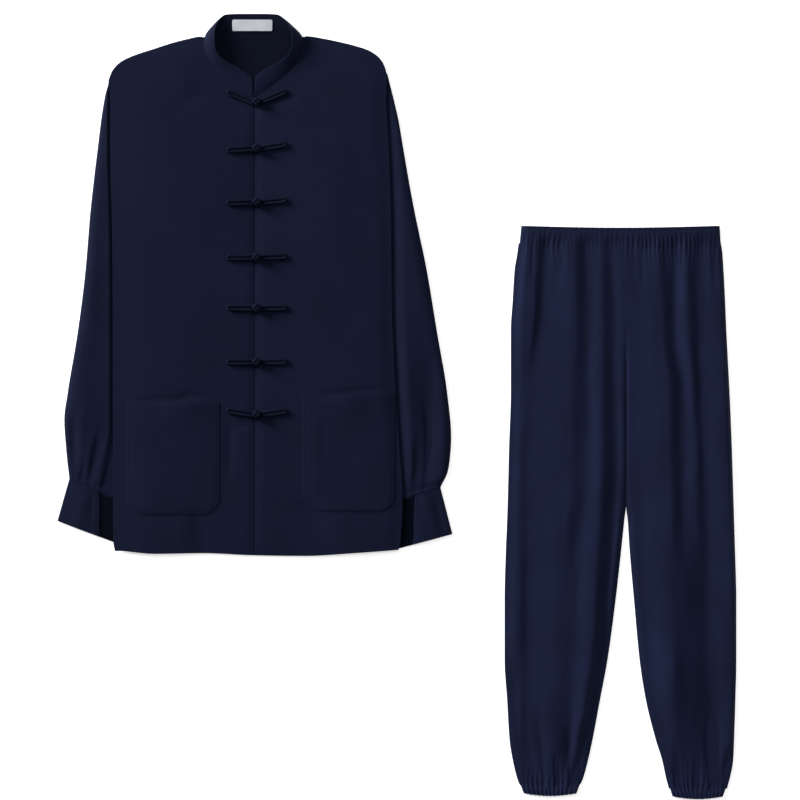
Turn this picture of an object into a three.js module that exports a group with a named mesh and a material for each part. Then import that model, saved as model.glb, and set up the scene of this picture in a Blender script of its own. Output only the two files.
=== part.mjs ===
// A tai chi uniform laid flat: a jacket with a stand collar, seven frog closures
// and two patch pockets, and loose trousers gathered at the waist and the ankles.
// Millimetres, +Z up. The garments lie on the plane z = 0, seen from above with +Y
// towards the collar. Each garment is drawn in its own frame: "across" runs to the
// right from the centre front line, "down" runs from the top edge to the hem.
import * as THREE from 'three';

// Driving sizes
const cloth = 1.2; // one layer of the cloth
const gap = 0.4; // between two pieces that are sewn or lie together
const hairGap = 0.3; // between a trim and what it is sewn on

const jacket = {
  place: [-227.2, 627.2], // where its top edge meets the centre front line
  hemRows: 18, // rows of faces from the shoulder to the hem
  backNeckDown: 36,
  frontLift: 2.2, // how far the front panels rise off the back panel
};

const sleeve = {
  rings: 13,
  hiddenColumns: 3,
  shownColumns: 5,
  wall: 1.2,
  hiddenHeight: 2.7, // of the flattened tube where the body lies on it
  underBody: 1, // how far past the body's edge it still lies low
  puff: 3.6, // how far its upper layer rises beside the body
  foldInset: 1.5, // from the outside of a fold to its inside
};
const cuff = { wall: 1.5, rows: 3, hidden: 22, overlap: 14, inner: 0.75 };
const collar = { wall: 2.2, steps: 4, centre: -2, backShift: 3.5, backSeam: 38 };
const pocket = { cornerRadius: 28, columns: 7, reach: 9, lip: 2.2, lipWidth: 34 };
const label = { left: -37, right: 27, top: 9.6, bottom: 28, wall: 1 };
const frog = {
  cordRadius: 2.25,
  sides: 5,
  spacing: 2.45, // of a cord's middle from the line between the two
  eyeRadius: 4.4,
  eyeTurn: Math.PI * 0.72, // how far round the eye goes each way
  knotAcross: 3,
  knotRadius: 6.3,
  stemRadius: 1.7,
  reachLeft: -46,
  reachRight: 52,
};

const trousers = {
  place: [366.4, 288],
  crotchDown: 443,
  seamTop: 31.5, // where the legs meet the waistband
  frontLift: 2.6,
  frontColumns: 15,
  frontRows: 20,
  backColumns: 6,
  backRows: 11,
};
const waistband = { height: 31, thick: 7.2, wall: 1.8, pleats: 30, ripple: 1.1, backColumns: 10, sag: 3 };
const ankleHem = { thick: 7, wall: 1.6, pleats: 12, ripple: 0.9, backColumns: 6, sag: 4 };
const casingInset = 0.016; // share of a casing's width taken by the wall at each end

// Outlines, a row for each section. Left and right are as seen from above.
const bodySides = [
  { down: 98, left: -235, right: 211 },
  { down: 138, left: -231, right: 210 },
  { down: 218, left: -231, right: 214 },
  { down: 346, left: -228, right: 218 },
  { down: 458, left: -227, right: 219 },
  { down: 618, left: -227, right: 226 },
  { down: 690, left: -226.5, right: 231 },
  { down: 778, left: -226, right: 236 },
  { down: 842, left: -226, right: 233 },
  { down: 862, left: -223, right: 229 },
];

// Neck seam and shoulder line of a front panel, from the centre front to the side
const topLine = {
  left: [
    { aside: 0.2, down: 133 }, { aside: 15, down: 126.5 }, { aside: 30, down: 118 },
    { aside: 46, down: 107 }, { aside: 61, down: 94 }, { aside: 74, down: 77 },
    { aside: 83, down: 58 }, { aside: 88.5, down: 39.5 }, { aside: 112, down: 42.5 },
    { aside: 136, down: 48 }, { aside: 163, down: 57 }, { aside: 190, down: 66 },
    { aside: 212, down: 76 }, { aside: 226, down: 89 }, { aside: 235, down: 108 },
  ],
  right: [
    { aside: 0.2, down: 133 }, { aside: 14, down: 126.5 }, { aside: 29, down: 118 },
    { aside: 44, down: 107 }, { aside: 58, down: 94 }, { aside: 70, down: 77 },
    { aside: 79, down: 58 }, { aside: 84.5, down: 39.5 }, { aside: 110, down: 40.5 },
    { aside: 134, down: 45 }, { aside: 160, down: 51.5 }, { aside: 181, down: 58.5 },
    { aside: 196, down: 68.5 }, { aside: 206, down: 82 }, { aside: 211, down: 98 },
  ],
};

// The rows of the back panel, as shares of the way from the shoulder to the hem
const backShares = [0, 0.055, 0.12, 0.24, 0.38, 0.52, 0.66, 0.8, 0.9, 1];

const hemLine = [
  { across: -222, down: 859 },
  { across: -168, down: 863.5 },
  { across: -88, down: 862.5 },
  { across: 0, down: 866 },
  { across: 72, down: 867 },
  { across: 152, down: 862 },
  { across: 230, down: 855.5 },
];

// The outer fold of each sleeve and its inner fold, which lies under the body
const sleeveSides = {
  left: [
    { outer: [-233, 104], inner: [-150, 104] },
    { outer: [-240, 138], inner: [-149, 150] },
    { outer: [-245, 170], inner: [-149, 185] },
    { outer: [-251, 218], inner: [-149, 235] },
    { outer: [-262, 314], inner: [-150, 330] },
    { outer: [-270, 410], inner: [-154, 425] },
    { outer: [-282, 506], inner: [-160, 524] },
    { outer: [-298, 602], inner: [-171, 624] },
    { outer: [-304, 650], inner: [-180, 680] },
    { outer: [-301, 698], inner: [-192, 732] },
    { outer: [-296.5, 742], inner: [-204, 781] },
  ],
  right: [
    { outer: [212, 96], inner: [135, 100] },
    { outer: [222, 138], inner: [134, 150] },
    { outer: [229, 170], inner: [133, 185] },
    { outer: [237, 218], inner: [134, 235] },
    { outer: [254, 314], inner: [138, 330] },
    { outer: [274, 410], inner: [146, 425] },
    { outer: [290, 506], inner: [158, 522] },
    { outer: [306, 602], inner: [173, 622] },
    { outer: [313, 675], inner: [188, 696] },
    { outer: [309, 726], inner: [204, 748] },
    { outer: [296.5, 757], inner: [216, 779] },
  ],
};

// Each cuff from its seam with the sleeve to its free edge, at its outer fold and
// where the body's edge crosses it
const cuffSides = {
  left: {
    seam: { outer: [-297, 743.6], body: [-227, 772.5] },
    edge: { outer: [-316, 811], body: [-226, 845] },
  },
  right: {
    seam: { outer: [297, 758.4], body: [236.5, 775] },
    edge: { outer: [316, 832], body: [233, 854.5] },
  },
};

// Half of the stand collar, from the centre front round to the centre back. Each
// row crosses the band from its seam over its roll to its free edge, as distances
// aside of the neck's middle, down, and up from the surface.
const collarRows = [
  { seam: [0.4, 131.3, 3.2], roll: [0.5, 116, 5.2], edge: [0.6, 102, 6.2] },
  { seam: [14, 125, 3.2], roll: [11, 110, 6], edge: [9, 96, 7.2] },
  { seam: [28.5, 116.5, 3.2], roll: [25, 102, 6.6], edge: [22, 88, 8.6] },
  { seam: [44, 105.5, 3.2], roll: [40, 92, 7.6], edge: [37, 80, 11] },
  { seam: [57.5, 93, 3.2], roll: [54, 82, 9.4], edge: [49, 72.5, 13.5] },
  { seam: [69.5, 77, 3.2], roll: [67, 70, 11.5], edge: [57, 64, 16] },
  { seam: [77, 62, 3.2], roll: [76, 57, 13], edge: [60.5, 54, 18] },
  { seam: [81, 48, 3.2], roll: [80, 43, 14], edge: [61, 42, 19] },
  { seam: [80, 40.5, 3], roll: [79.5, 30, 11.5], edge: [60, 29, 17.5] },
  { seam: [73, 39.2, 2.8], roll: [72, 22, 8], edge: [57, 15.5, 13] },
  { seam: [63, 39, 2.7], roll: [61, 17.5, 4.6], edge: [53, 5.5, 7.6] },
  { seam: [47, 38.8, 2.6], roll: [46.5, 17, 2.8], edge: [46, 0.8, 3.2] },
  { seam: [24, 38.6, 2.6], roll: [24, 17, 2.3], edge: [23.5, 0, 1.8] },
  { seam: [0, 38.6, 2.6], roll: [0, 17, 2.3], edge: [0, 0, 1.8] },
];

const frogs = [
  { name: 'frog_1', down: 142, leftDown: 125, rightDown: 124 },
  { name: 'frog_2', down: 216, leftDown: 219, rightDown: 209 },
  { name: 'frog_3', down: 302, leftDown: 303, rightDown: 298 },
  { name: 'frog_4', down: 390, leftDown: 390, rightDown: 388 },
  { name: 'frog_5', down: 471, leftDown: 470, rightDown: 470 },
  { name: 'frog_6', down: 557, leftDown: 557, rightDown: 556 },
  { name: 'frog_7', down: 641, leftDown: 634, rightDown: 635 },
];

const pockets = [
  { name: 'pocket_left', inner: -56, outer: -205, top: 621, bottom: 801, tilt: 0, lipAcross: -112 },
  { name: 'pocket_right', inner: 76, outer: 224, top: 611, bottom: 796, tilt: -5, lipAcross: 150 },
];

// Soft folds of the jacket's cloth, each along a path of across and down. A
// positive height is a ridge, a negative one a trough.
const jacketFolds = [
  { width: 16, height: -1.5, path: [[-95, 795], [-78, 866]] },
  { width: 18, height: 1.2, path: [[-120, 800], [-108, 866]] },
  { width: 17, height: -1.5, path: [[70, 775], [112, 850]] },
  { width: 18, height: 1.3, path: [[112, 770], [150, 850]] },
  { width: 20, height: -1.3, path: [[-25, 655], [-48, 700]] },
  { width: 26, height: 1.1, path: [[-150, 150], [-120, 330]] },
  { width: 26, height: 1.1, path: [[140, 170], [120, 380]] },
  { width: 14, height: -1.2, path: [[-70, 112], [-120, 150]] },
  { width: 14, height: -1.2, path: [[66, 112], [118, 150]] },
];

const sleeveFolds = [
  { width: 7, height: -3.5, path: [[-289, 665], [-291, 722]] },
  { width: 8, height: 3, path: [[-277, 630], [-276, 735]] },
  { width: 7, height: -3.8, path: [[-243, 668], [-268, 728]] },
  { width: 8, height: 2.6, path: [[-236, 640], [-252, 735]] },
  { width: 6, height: -2.4, path: [[-228, 680], [-238, 741]] },
  { width: 9, height: -3.5, path: [[272, 540], [276, 640], [272, 728]] },
  { width: 9, height: 3, path: [[292, 560], [294, 660], [284, 735]] },
  { width: 7, height: -3.5, path: [[252, 685], [256, 755]] },
  { width: 8, height: 2.6, path: [[262, 650], [264, 750]] },
  { width: 8, height: 1.8, path: [[-258, 380], [-268, 560]] },
  { width: 8, height: 1.8, path: [[252, 330], [274, 500]] },
];

const cuffFolds = [
  { width: 9, height: 1.1, path: [[-270, 762], [-284, 822]] },
  { width: 8, height: -0.8, path: [[-255, 765], [-262, 830]] },
  { width: 9, height: 1.1, path: [[272, 768], [290, 838]] },
  { width: 8, height: -0.8, path: [[285, 762], [303, 832]] },
];

const waistSides = {
  top: { left: -168, right: 150 },
  bottom: { left: -171, right: 152 },
};

const legSides = {
  left: [
    { down: 31, outer: -172, inner: -0.2 },
    { down: 46, outer: -174, inner: -0.2 },
    { down: 70, outer: -178, inner: -0.2 },
    { down: 118, outer: -181, inner: -0.2 },
    { down: 166, outer: -184, inner: -0.2 },
    { down: 262, outer: -184, inner: -0.2 },
    { down: 358, outer: -187, inner: -0.2 },
    { down: 438, outer: -189, inner: -0.3 },
    { down: 470, outer: -190, inner: -3 },
    { down: 518, outer: -192, inner: -8 },
    { down: 598, outer: -194, inner: -17 },
    { down: 694, outer: -194, inner: -30 },
    { down: 758, outer: -190, inner: -42 },
    { down: 822, outer: -186, inner: -54 },
    { down: 854, outer: -181, inner: -61 },
    { down: 886, outer: -173, inner: -70 },
    { down: 896, outer: -169, inner: -75 },
  ],
  right: [
    { down: 31, outer: 152, inner: 0.2 },
    { down: 46, outer: 154, inner: 0.2 },
    { down: 70, outer: 155.5, inner: 0.2 },
    { down: 118, outer: 158, inner: 0.2 },
    { down: 166, outer: 160, inner: 0.2 },
    { down: 262, outer: 165, inner: 0.2 },
    { down: 358, outer: 169, inner: 0.2 },
    { down: 438, outer: 171.5, inner: 0.3 },
    { down: 470, outer: 172.5, inner: 3 },
    { down: 518, outer: 174, inner: 6 },
    { down: 598, outer: 176, inner: 13 },
    { down: 694, outer: 176, inner: 22 },
    { down: 758, outer: 174.5, inner: 32 },
    { down: 822, outer: 172.5, inner: 48 },
    { down: 854, outer: 171, inner: 58 },
    { down: 886, outer: 165, inner: 65 },
    { down: 896, outer: 162, inner: 68 },
  ],
};

const hems = {
  left: { top: 891.5, bottom: 910.5, outerTop: -170.5, outerBottom: -164, innerTop: -72.5, innerBottom: -79 },
  right: { top: 896.5, bottom: 915.5, outerTop: 161.5, outerBottom: 155, innerTop: 68.5, innerBottom: 74 },
};

// Folds of the trousers: long soft ones from the waist, then the gathers above the
// ankles
const legFolds = [
  { width: 18, height: 4.6, path: [[-106, 40], [-106, 160], [-112, 300], [-118, 480]] },
  { width: 8, height: -3.4, path: [[-133, 30], [-142, 100], [-146, 200]] },
  { width: 10, height: 3.2, path: [[-163, 60], [-166, 180], [-165, 420]] },
  { width: 8, height: -3.4, path: [[-59, 50], [-59, 190], [-70, 290], [-74, 400]] },
  { width: 10, height: 4.8, path: [[-40, 60], [-43, 200], [-52, 400], [-62, 560]] },
  { width: 7, height: -3.6, path: [[-20, 30], [-25, 165], [-35, 380], [-45, 690], [-62, 830]] },
  { width: 6, height: 2.8, path: [[-12, 34], [-13, 200], [-16, 340]] },
  { width: 6, height: 2.8, path: [[12, 34], [13, 120], [17, 260], [22, 420]] },
  { width: 6, height: -2.4, path: [[30, 34], [30, 125]] },
  { width: 8, height: 3.8, path: [[43, 60], [45, 200], [48, 380]] },
  { width: 9, height: -3.4, path: [[53, 28], [57, 80], [67, 200], [70, 390]] },
  { width: 11, height: 3.8, path: [[88, 50], [86, 180], [92, 330]] },
  { width: 8, height: -3, path: [[115, 30], [106, 140], [120, 250], [120, 330]] },
  { width: 12, height: 4.4, path: [[142, 90], [144, 300], [146, 500], [146, 700]] },
  { width: 6, height: -2.2, path: [[134, 32], [134, 62]] },
  { width: 24, height: -2.4, path: [[96, 480], [98, 620], [96, 750]] },
  { width: 18, height: 3, path: [[46, 480], [50, 620], [62, 780]] },
  { width: 20, height: 3, path: [[-150, 520], [-152, 680], [-150, 790]] },
  { width: 20, height: 2.4, path: [[-92, 560], [-98, 700], [-112, 850]] },
  { width: 12, height: -2.6, path: [[-122, 600], [-124, 740], [-135, 900]] },
  { width: 8, height: -3, path: [[-186, 741], [-172, 834], [-161, 892]] },
  { width: 6, height: 2.8, path: [[-148, 815], [-148, 900]] },
  { width: 5, height: -2.6, path: [[-91, 830], [-96, 895]] },
  { width: 5, height: 2.4, path: [[-83, 825], [-86, 897]] },
  { width: 5, height: 2.4, path: [[-121, 850], [-121, 900]] },
  { width: 6, height: -2.8, path: [[82, 810], [84, 890]] },
  { width: 7, height: 2.8, path: [[98, 800], [97, 898]] },
  { width: 7, height: -3, path: [[135, 768], [139, 898]] },
  { width: 6, height: 2.6, path: [[121, 820], [120, 898]] },
  { width: 6, height: 2.4, path: [[150, 825], [149, 896]] },
  { width: 5, height: -2.2, path: [[161, 845], [157, 890]] },
];

const navy = (name, colour, roughness) =>
  new THREE.MeshStandardMaterial({ name, color: colour, roughness, metalness: 0 });
const shellMaterial = () => navy('navy cloth', '#181d30', 0.72);
const trimMaterial = () => navy('navy cord', '#1a1e33', 0.6);
const labelMaterial = () => navy('white ribbon', '#c3c4cb', 0.6);

const clamp = THREE.MathUtils.clamp;
const lerp = THREE.MathUtils.lerp;
const smooth = (value, start, end) => THREE.MathUtils.smoothstep(value, start, end);

// A smooth line through the rows of a table, one column read against another
function smoothThrough(rows, key, value) {
  const line = new THREE.CubicInterpolant(
    rows.map((row) => row[key]), rows.map((row) => row[value]), 1);
  return (at) => line.evaluate(at)[0];
}

// The same for a column that holds points, against the row's place from 0 to 1
function pointsThrough(rows, column) {
  const size = rows[0][column].length;
  const line = new THREE.CubicInterpolant(
    rows.map((row, index) => index / (rows.length - 1)), rows.flatMap((row) => row[column]), size);
  return (at) => Array.from(line.evaluate(at)).slice(0, size);
}

// How high the folds of a table lift the cloth at one place. Each fold is a soft
// bump across its path, and fades out towards both of its ends.
function foldHeight(folds, across, down) {
  let height = 0;
  for (const fold of folds) {
    const { nearest, share } = nearestOnPath(fold.path, across, down);
    const reach = nearest / fold.width;
    if (reach < 3) height += fold.height * Math.exp(-reach * reach) * Math.sqrt(Math.sin(Math.PI * share));
  }
  return height;
}

// The distance from a point to a path, and how far along it the nearest point is.
// The path's ends are held off 0 and 1 so that the fold still shows there a little.
function nearestOnPath(path, across, down) {
  const lengths = path.slice(1).map((end, i) => Math.hypot(end[0] - path[i][0], end[1] - path[i][1]));
  const whole = lengths.reduce((sum, length) => sum + length, 0);
  let nearest = Infinity;
  let share = 0;
  let before = 0;
  lengths.forEach((length, i) => {
    const [x, y] = path[i];
    const along = [(path[i + 1][0] - x) / length, (path[i + 1][1] - y) / length];
    const run = clamp((across - x) * along[0] + (down - y) * along[1], 0, length);
    const distance = Math.hypot(across - x - run * along[0], down - y - run * along[1]);
    if (distance < nearest) {
      nearest = distance;
      share = (before + run) / whole;
    }
    before += length;
  });
  return { nearest, share: clamp(share, 0.04, 0.96) };
}

// A closed wall of cloth between an outside and an inside grid of points. When it
// goes round, its last column joins its first and it is an open-ended tube.
function clothWall(columns, rows, outside, inside, goesRound = false) {
  const perRow = goesRound ? columns : columns + 1;
  const positions = [];
  for (const side of [outside, inside]) {
    for (let row = 0; row <= rows; row += 1) {
      for (let column = 0; column < perRow; column += 1) {
        positions.push(...side(column / columns, row / rows, column, row));
      }
    }
  }
  const layer = perRow * (rows + 1);
  const at = (side, column, row) => side * layer + row * perRow + (column % perRow);
  const faces = [];
  const quad = (a, b, c, d) => faces.push(a, b, c, a, c, d);
  for (let column = 0; column < columns; column += 1) {
    for (let row = 0; row < rows; row += 1) {
      quad(at(0, column, row), at(0, column, row + 1), at(0, column + 1, row + 1), at(0, column + 1, row));
      quad(at(1, column, row), at(1, column + 1, row), at(1, column + 1, row + 1), at(1, column, row + 1));
    }
    quad(at(0, column, 0), at(0, column + 1, 0), at(1, column + 1, 0), at(1, column, 0));
    quad(at(0, column, rows), at(1, column, rows), at(1, column + 1, rows), at(0, column + 1, rows));
  }
  for (let row = 0; row < rows && !goesRound; row += 1) {
    quad(at(0, 0, row), at(1, 0, row), at(1, 0, row + 1), at(0, 0, row + 1));
    quad(at(0, columns, row), at(0, columns, row + 1), at(1, columns, row + 1), at(1, columns, row));
  }
  return facingOut(positions, faces);
}

// A geometry from points and triangles, turned so that its faces point outwards
function facingOut(positions, faces) {
  const geometry = new THREE.BufferGeometry();
  geometry.setAttribute('position', new THREE.Float32BufferAttribute(positions, 3));
  const corner = (index) => new THREE.Vector3().fromArray(positions, index * 3);
  let volume = 0;
  for (let i = 0; i < faces.length; i += 3) {
    volume += corner(faces[i]).dot(corner(faces[i + 1]).cross(corner(faces[i + 2])));
  }
  if (volume < 0) {
    for (let i = 0; i < faces.length; i += 3) [faces[i + 1], faces[i + 2]] = [faces[i + 2], faces[i + 1]];
  }
  geometry.setIndex(faces);
  geometry.computeVertexNormals();
  return geometry;
}

// A wall of even thickness about a surface that point(s, t) gives
function ribbonWall(columns, rows, point, thickness) {
  const step = 1e-3;
  const face = (direction) => (s, t) => {
    const here = new THREE.Vector3(...point(s, t));
    const alongS = new THREE.Vector3(...point(Math.min(s + step, 1), t))
      .sub(new THREE.Vector3(...point(Math.max(s - step, 0), t)));
    const alongT = new THREE.Vector3(...point(s, Math.min(t + step, 1)))
      .sub(new THREE.Vector3(...point(s, Math.max(t - step, 0))));
    const normal = alongS.cross(alongT).normalize();
    return here.addScaledVector(normal, direction * thickness / 2).toArray();
  };
  return clothWall(columns, rows, face(1), face(-1));
}

// A round cord along a path of points; when it is closed it joins its own start
function cordWall(path, radius, sides, closed) {
  const ring = (index) => {
    const last = path.length - 1;
    const before = closed ? path.at(index - 1) : path[Math.max(index - 1, 0)];
    const after = closed ? path[(index + 1) % path.length] : path[Math.min(index + 1, last)];
    const along = after.clone().sub(before).normalize();
    const side = new THREE.Vector3(0, 0, 1).cross(along).normalize();
    const up = along.clone().cross(side);
    return Array.from({ length: sides }, (unused, corner) => {
      const turn = ((corner + 0.5) / sides) * Math.PI * 2;
      return path[index].clone()
        .addScaledVector(side, radius * Math.cos(turn))
        .addScaledVector(up, radius * Math.sin(turn)).toArray();
    });
  };
  const positions = path.flatMap((unused, index) => ring(index)).flat();
  const faces = [];
  const spans = closed ? path.length : path.length - 1;
  for (let span = 0; span < spans; span += 1) {
    const next = (span + 1) % path.length;
    for (let corner = 0; corner < sides; corner += 1) {
      const a = span * sides + corner;
      const b = span * sides + ((corner + 1) % sides);
      const c = next * sides + ((corner + 1) % sides);
      const d = next * sides + corner;
      faces.push(a, b, c, a, c, d);
    }
  }
  for (let corner = 1; corner < sides - 1 && !closed; corner += 1) {
    const end = (path.length - 1) * sides;
    faces.push(0, corner + 1, corner, end, end + corner, end + corner + 1);
  }
  return facingOut(positions, faces);
}

function addPiece(parent, name, geometry, material) {
  const piece = new THREE.Mesh(geometry, material);
  piece.name = name;
  parent.add(piece);
  return piece;
}

// The jacket's surfaces
const sideAt = {
  left: smoothThrough(bodySides, 'down', 'left'),
  right: smoothThrough(bodySides, 'down', 'right'),
};
const hemAt = smoothThrough(hemLine, 'across', 'down');

// The inner fold of a sleeve and the cuff below it, as distance aside against down
const sleeveFoldAt = Object.fromEntries(['left', 'right'].map((hand) => {
  const rows = sleeveSides[hand].map((row) => ({ down: row.inner[1], aside: Math.abs(row.inner[0]) }));
  return [hand, smoothThrough(rows, 'down', 'aside')];
}));

const sleeveHeightUnderBody = (down) => lerp(3.1, 3.9, smooth(down, 700, 765));

// How far the sleeves under a panel's edge lift it. It starts to rise so far inside
// of the sleeve's inner fold, and has risen so far inside of it.
function liftOverSleeve(across, down, riseStart, riseEnd) {
  const hand = across < 0 ? 'left' : 'right';
  const fold = sleeveFoldAt[hand](Math.min(down, sleeveSides[hand].at(-1).inner[1]));
  const overSleeve = smooth(Math.abs(across), fold - riseStart, fold - riseEnd);
  return sleeveHeightUnderBody(down) * overSleeve * smooth(down, 40, 74);
}

// The back panel follows the sleeve, the front one crosses it in one long slope
const backUnder = (across, down) => liftOverSleeve(across, down, 50, 26);
const frontSlope = (across, down) => liftOverSleeve(across, down, 150, 30);

function frontUnder(across, down) {
  const hand = across < 0 ? 'left' : 'right';
  const toSide = Math.abs(sideAt[hand](down)) - Math.abs(across);
  const toHem = hemAt(across) - down;
  const fromNeck = Math.hypot((across - collar.centre) / 88, (down - 78) / 58) - 1;
  const shoulder = smooth(down - 0.22 * Math.abs(across), 30, 85);
  const edges = smooth(toSide, 0, 26) * smooth(toHem, 0, 22) * smooth(fromNeck, 0, 0.5) * shoulder;
  const centre = lerp(0.45, 1, smooth(Math.abs(across), 0, 14));
  const lift = Math.max(jacket.frontLift + foldHeight(jacketFolds, across, down), 0);
  return frontSlope(across, down) + cloth + gap + lift * edges * centre;
}

const frontTop = (across, down) => frontUnder(across, down) + cloth;

// The height of what a piece rests on: the highest of the carrying meshes within
// its reach, so that flat faces between its points stay clear of them too
function seatHeight(carriers, across, down, reach) {
  const offsets = [[0, 0], [-1, 0], [1, 0], [0, -1], [0, 1]];
  const above = 100;
  const heights = offsets.map(([x, y]) => {
    const from = new THREE.Vector3(across + x * reach, -(down + y * reach), above);
    const hits = new THREE.Raycaster(from, new THREE.Vector3(0, 0, -1)).intersectObjects(carriers);
    return hits.length ? hits[0].point.z : 0;
  });
  return Math.max(...heights);
}

// A point of a body panel: a column of its top line, and a share of the way down
function bodyPoint(hand, start, share, height) {
  const whole = Math.abs(sideAt[hand](start.down));
  const widest = topLine[hand].at(-1).aside;
  const sign = hand === 'left' ? -1 : 1;
  const hem = hemAt(sign * whole * (start.aside / widest));
  const down = lerp(start.down, hem, share);
  const across = start.aside < 1
    ? sign * start.aside
    : sign * (start.aside / widest) * Math.abs(sideAt[hand](down));
  return [across, -down, height(across, down)];
}

function jacketFront(hand) {
  const columns = topLine[hand];
  const face = (height) => (s, t, column) => bodyPoint(hand, columns[column], t, height);
  return clothWall(columns.length - 1, jacket.hemRows, face(frontTop), face(frontUnder));
}

// The back panel's top line is the shoulders' with a shallow neck between them. At
// the neck it needs only every other column of the front's.
function jacketBack() {
  const half = (hand) => {
    const corner = topLine[hand].findIndex((row) => row.down < 60);
    return topLine[hand]
      .filter((row, index) => index >= corner || index % 2 === 1)
      .map((row, index, rows) => (row.down > 60 && index < rows.length / 2 && row.aside < 86
        ? { hand, aside: row.aside, down: jacket.backNeckDown }
        : { hand, ...row }));
  };
  const columns = [
    ...half('left').reverse(), { hand: 'right', aside: 0, down: jacket.backNeckDown }, ...half('right')];
  const face = (height) => (s, t, column, row) => {
    const start = columns[column];
    const share = backShares[row];
    const middleDown = lerp(start.down, hemAt(0), share);
    return start.aside === 0
      ? [0, -middleDown, height(0, middleDown)]
      : bodyPoint(start.hand, start, share, height);
  };
  const top = (across, down) => backUnder(across, down) + cloth;
  return clothWall(columns.length - 1, backShares.length - 1, face(top), face(backUnder));
}

// The top of a sleeve's upper layer: flat under the body, then rolling up and over
// to the outer fold
function sleeveTop(hand, across, down, fromOuter) {
  const fromBody = Math.abs(across) - Math.abs(sideAt[hand](Math.min(down, 860)));
  const visible = smooth(fromBody, 2, 20) * smooth(fromOuter, 0, 16);
  const puff = sleeve.puff + foldHeight(sleeveFolds, across, down);
  return sleeve.hiddenHeight + Math.max(puff, 0.2) * visible;
}

function sleeveTube(hand) {
  const outer = pointsThrough(sleeveSides[hand], 'outer');
  const inner = pointsThrough(sleeveSides[hand], 'inner');
  const { hiddenColumns, shownColumns, wall, rings, underBody, foldInset } = sleeve;
  const columns = hiddenColumns + shownColumns;
  const half = sleeve.hiddenHeight / 2;
  const foldHalf = { outside: 0.6, inside: 0.25 }; // half the height of the outer fold
  // A ring runs over the top from the inner fold to the outer one, then back below
  const around = 2 * (columns + 2);
  const place = (index) => {
    const below = index >= columns + 2;
    const step = below ? around - 1 - index : index;
    return { below, step };
  };
  const face = (depth) => (s, t, index) => {
    const { below, step } = place(index);
    const [outerAcross, outerDown] = outer(t);
    const [innerAcross, innerDown] = inner(t);
    const width = Math.hypot(outerAcross - innerAcross, outerDown - innerDown);
    const edge = depth > 0 ? foldInset : 0;
    const fold = depth > 0 ? foldHalf.inside : foldHalf.outside;
    const bodyEdge = Math.abs(sideAt[hand](outerDown + 12)) + underBody;
    const covered = width * (bodyEdge - Math.abs(innerAcross)) / Math.abs(outerAcross - innerAcross);
    const spread = step <= hiddenColumns
      ? covered * (step / hiddenColumns)
      : lerp(covered, width - 1, (step - hiddenColumns) / shownColumns);
    const run = step === columns + 1 ? width - edge : clamp(spread, edge, width - 1 - edge);
    const share = run / width;
    const across = lerp(innerAcross, outerAcross, share);
    const down = lerp(innerDown, outerDown, share);
    const top = sleeveTop(hand, across, down, width - run);
    const turned = step === columns + 1;
    const high = turned ? half + fold : top - depth;
    const low = turned ? half - fold : depth;
    return [across, -down, below ? low : high];
  };
  return clothWall(around, rings, face(0), face(wall), true);
}

// A cuff is one band wrapped round, whose end tucks under its start beside the body.
// Runs are measured outwards from the body's edge, heights to the band's middle.
function cuffSection(width) {
  const { wall, hidden, overlap, inner } = cuff;
  return [
    [6, 5.2], [12, 5.4], [20, 5], [width * 0.5, 4.6], [width * 0.72, 4.5], [width - 9, 4],
    [width - 1.6, 3], [width - inner, 1.9], [width - 1.8, wall / 2],
    [width * 0.6, wall / 2], [width * 0.2, wall / 2], [4 - hidden, wall / 2],
    [inner - hidden, 1.65], [4 - hidden, 2.65], [-8, 2.65],
    [2, 2.8], [12, 3], [6 + overlap, 2.9],
  ];
}

function cuffBand(hand) {
  const { seam, edge } = cuffSides[hand];
  const last = cuffSection(1).length - 1;
  const upperLast = 6; // the last corner of the section's upper layer
  const between = (start, end, t) => start.map((value, axis) => lerp(value, end[axis], t));
  const point = (s, t) => {
    const outer = between(seam.outer, edge.outer, t);
    const body = between(seam.body, edge.body, t);
    const width = Math.hypot(outer[0] - body[0], outer[1] - body[1]);
    const section = cuffSection(width);
    const place = s * last;
    const from = Math.min(Math.floor(place), last - 1);
    const [run, height] = between(section[from], section[from + 1], place - from);
    const across = lerp(body[0], outer[0], run / width);
    const levelled = run < 0 ? run * (1 - t) : run; // the hidden part stays above the hem
    const down = lerp(body[1], outer[1], levelled / width);
    const onTop = smooth(upperLast + 1 - place, 0, 2) * smooth(run, 14, 24) * smooth(width - run, 4, 14);
    return [across, -down, height + foldHeight(cuffFolds, across, down) * onTop];
  };
  return ribbonWall(last, cuff.rows, point, cuff.wall);
}

// The collar's middle surface: s runs round the neck from the left end to the
// right one, t crosses the band from its seam to its free edge
const collarLines = ['seam', 'roll', 'edge'].map((column) => pointsThrough(collarRows, column));

function collarPoint(s, t) {
  const side = s < 0.5 ? -1 : 1;
  const along = s < 0.5 ? 2 * s : 2 * (1 - s);
  const [seam, roll, edge] = collarLines.map((line) => line(along));
  const blend = (axis) => (1 - t) ** 2 * seam[axis] + 2 * t * (1 - t) * roll[axis] + t ** 2 * edge[axis];
  const down = blend(1);
  const centre = collar.centre - collar.backShift * clamp((collar.backSeam - down) / collar.backSeam, 0, 1);
  return [centre + side * blend(0), -down, blend(2)];
}

function collarBand() {
  return ribbonWall(2 * (collarRows.length - 1), collar.steps, collarPoint, collar.wall);
}

// The label lies on the inner face of the collar at the back
function neckLabel() {
  const height = (down) => lerp(2.15, 2.55, smooth(down, 6, 32)) + collar.wall / 2 + hairGap;
  const face = (depth) => (s, t) => {
    const down = lerp(label.top, label.bottom, t);
    return [lerp(label.left, label.right, s), -down, height(down) + depth];
  };
  return clothWall(4, 2, face(label.wall), face(0));
}

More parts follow.
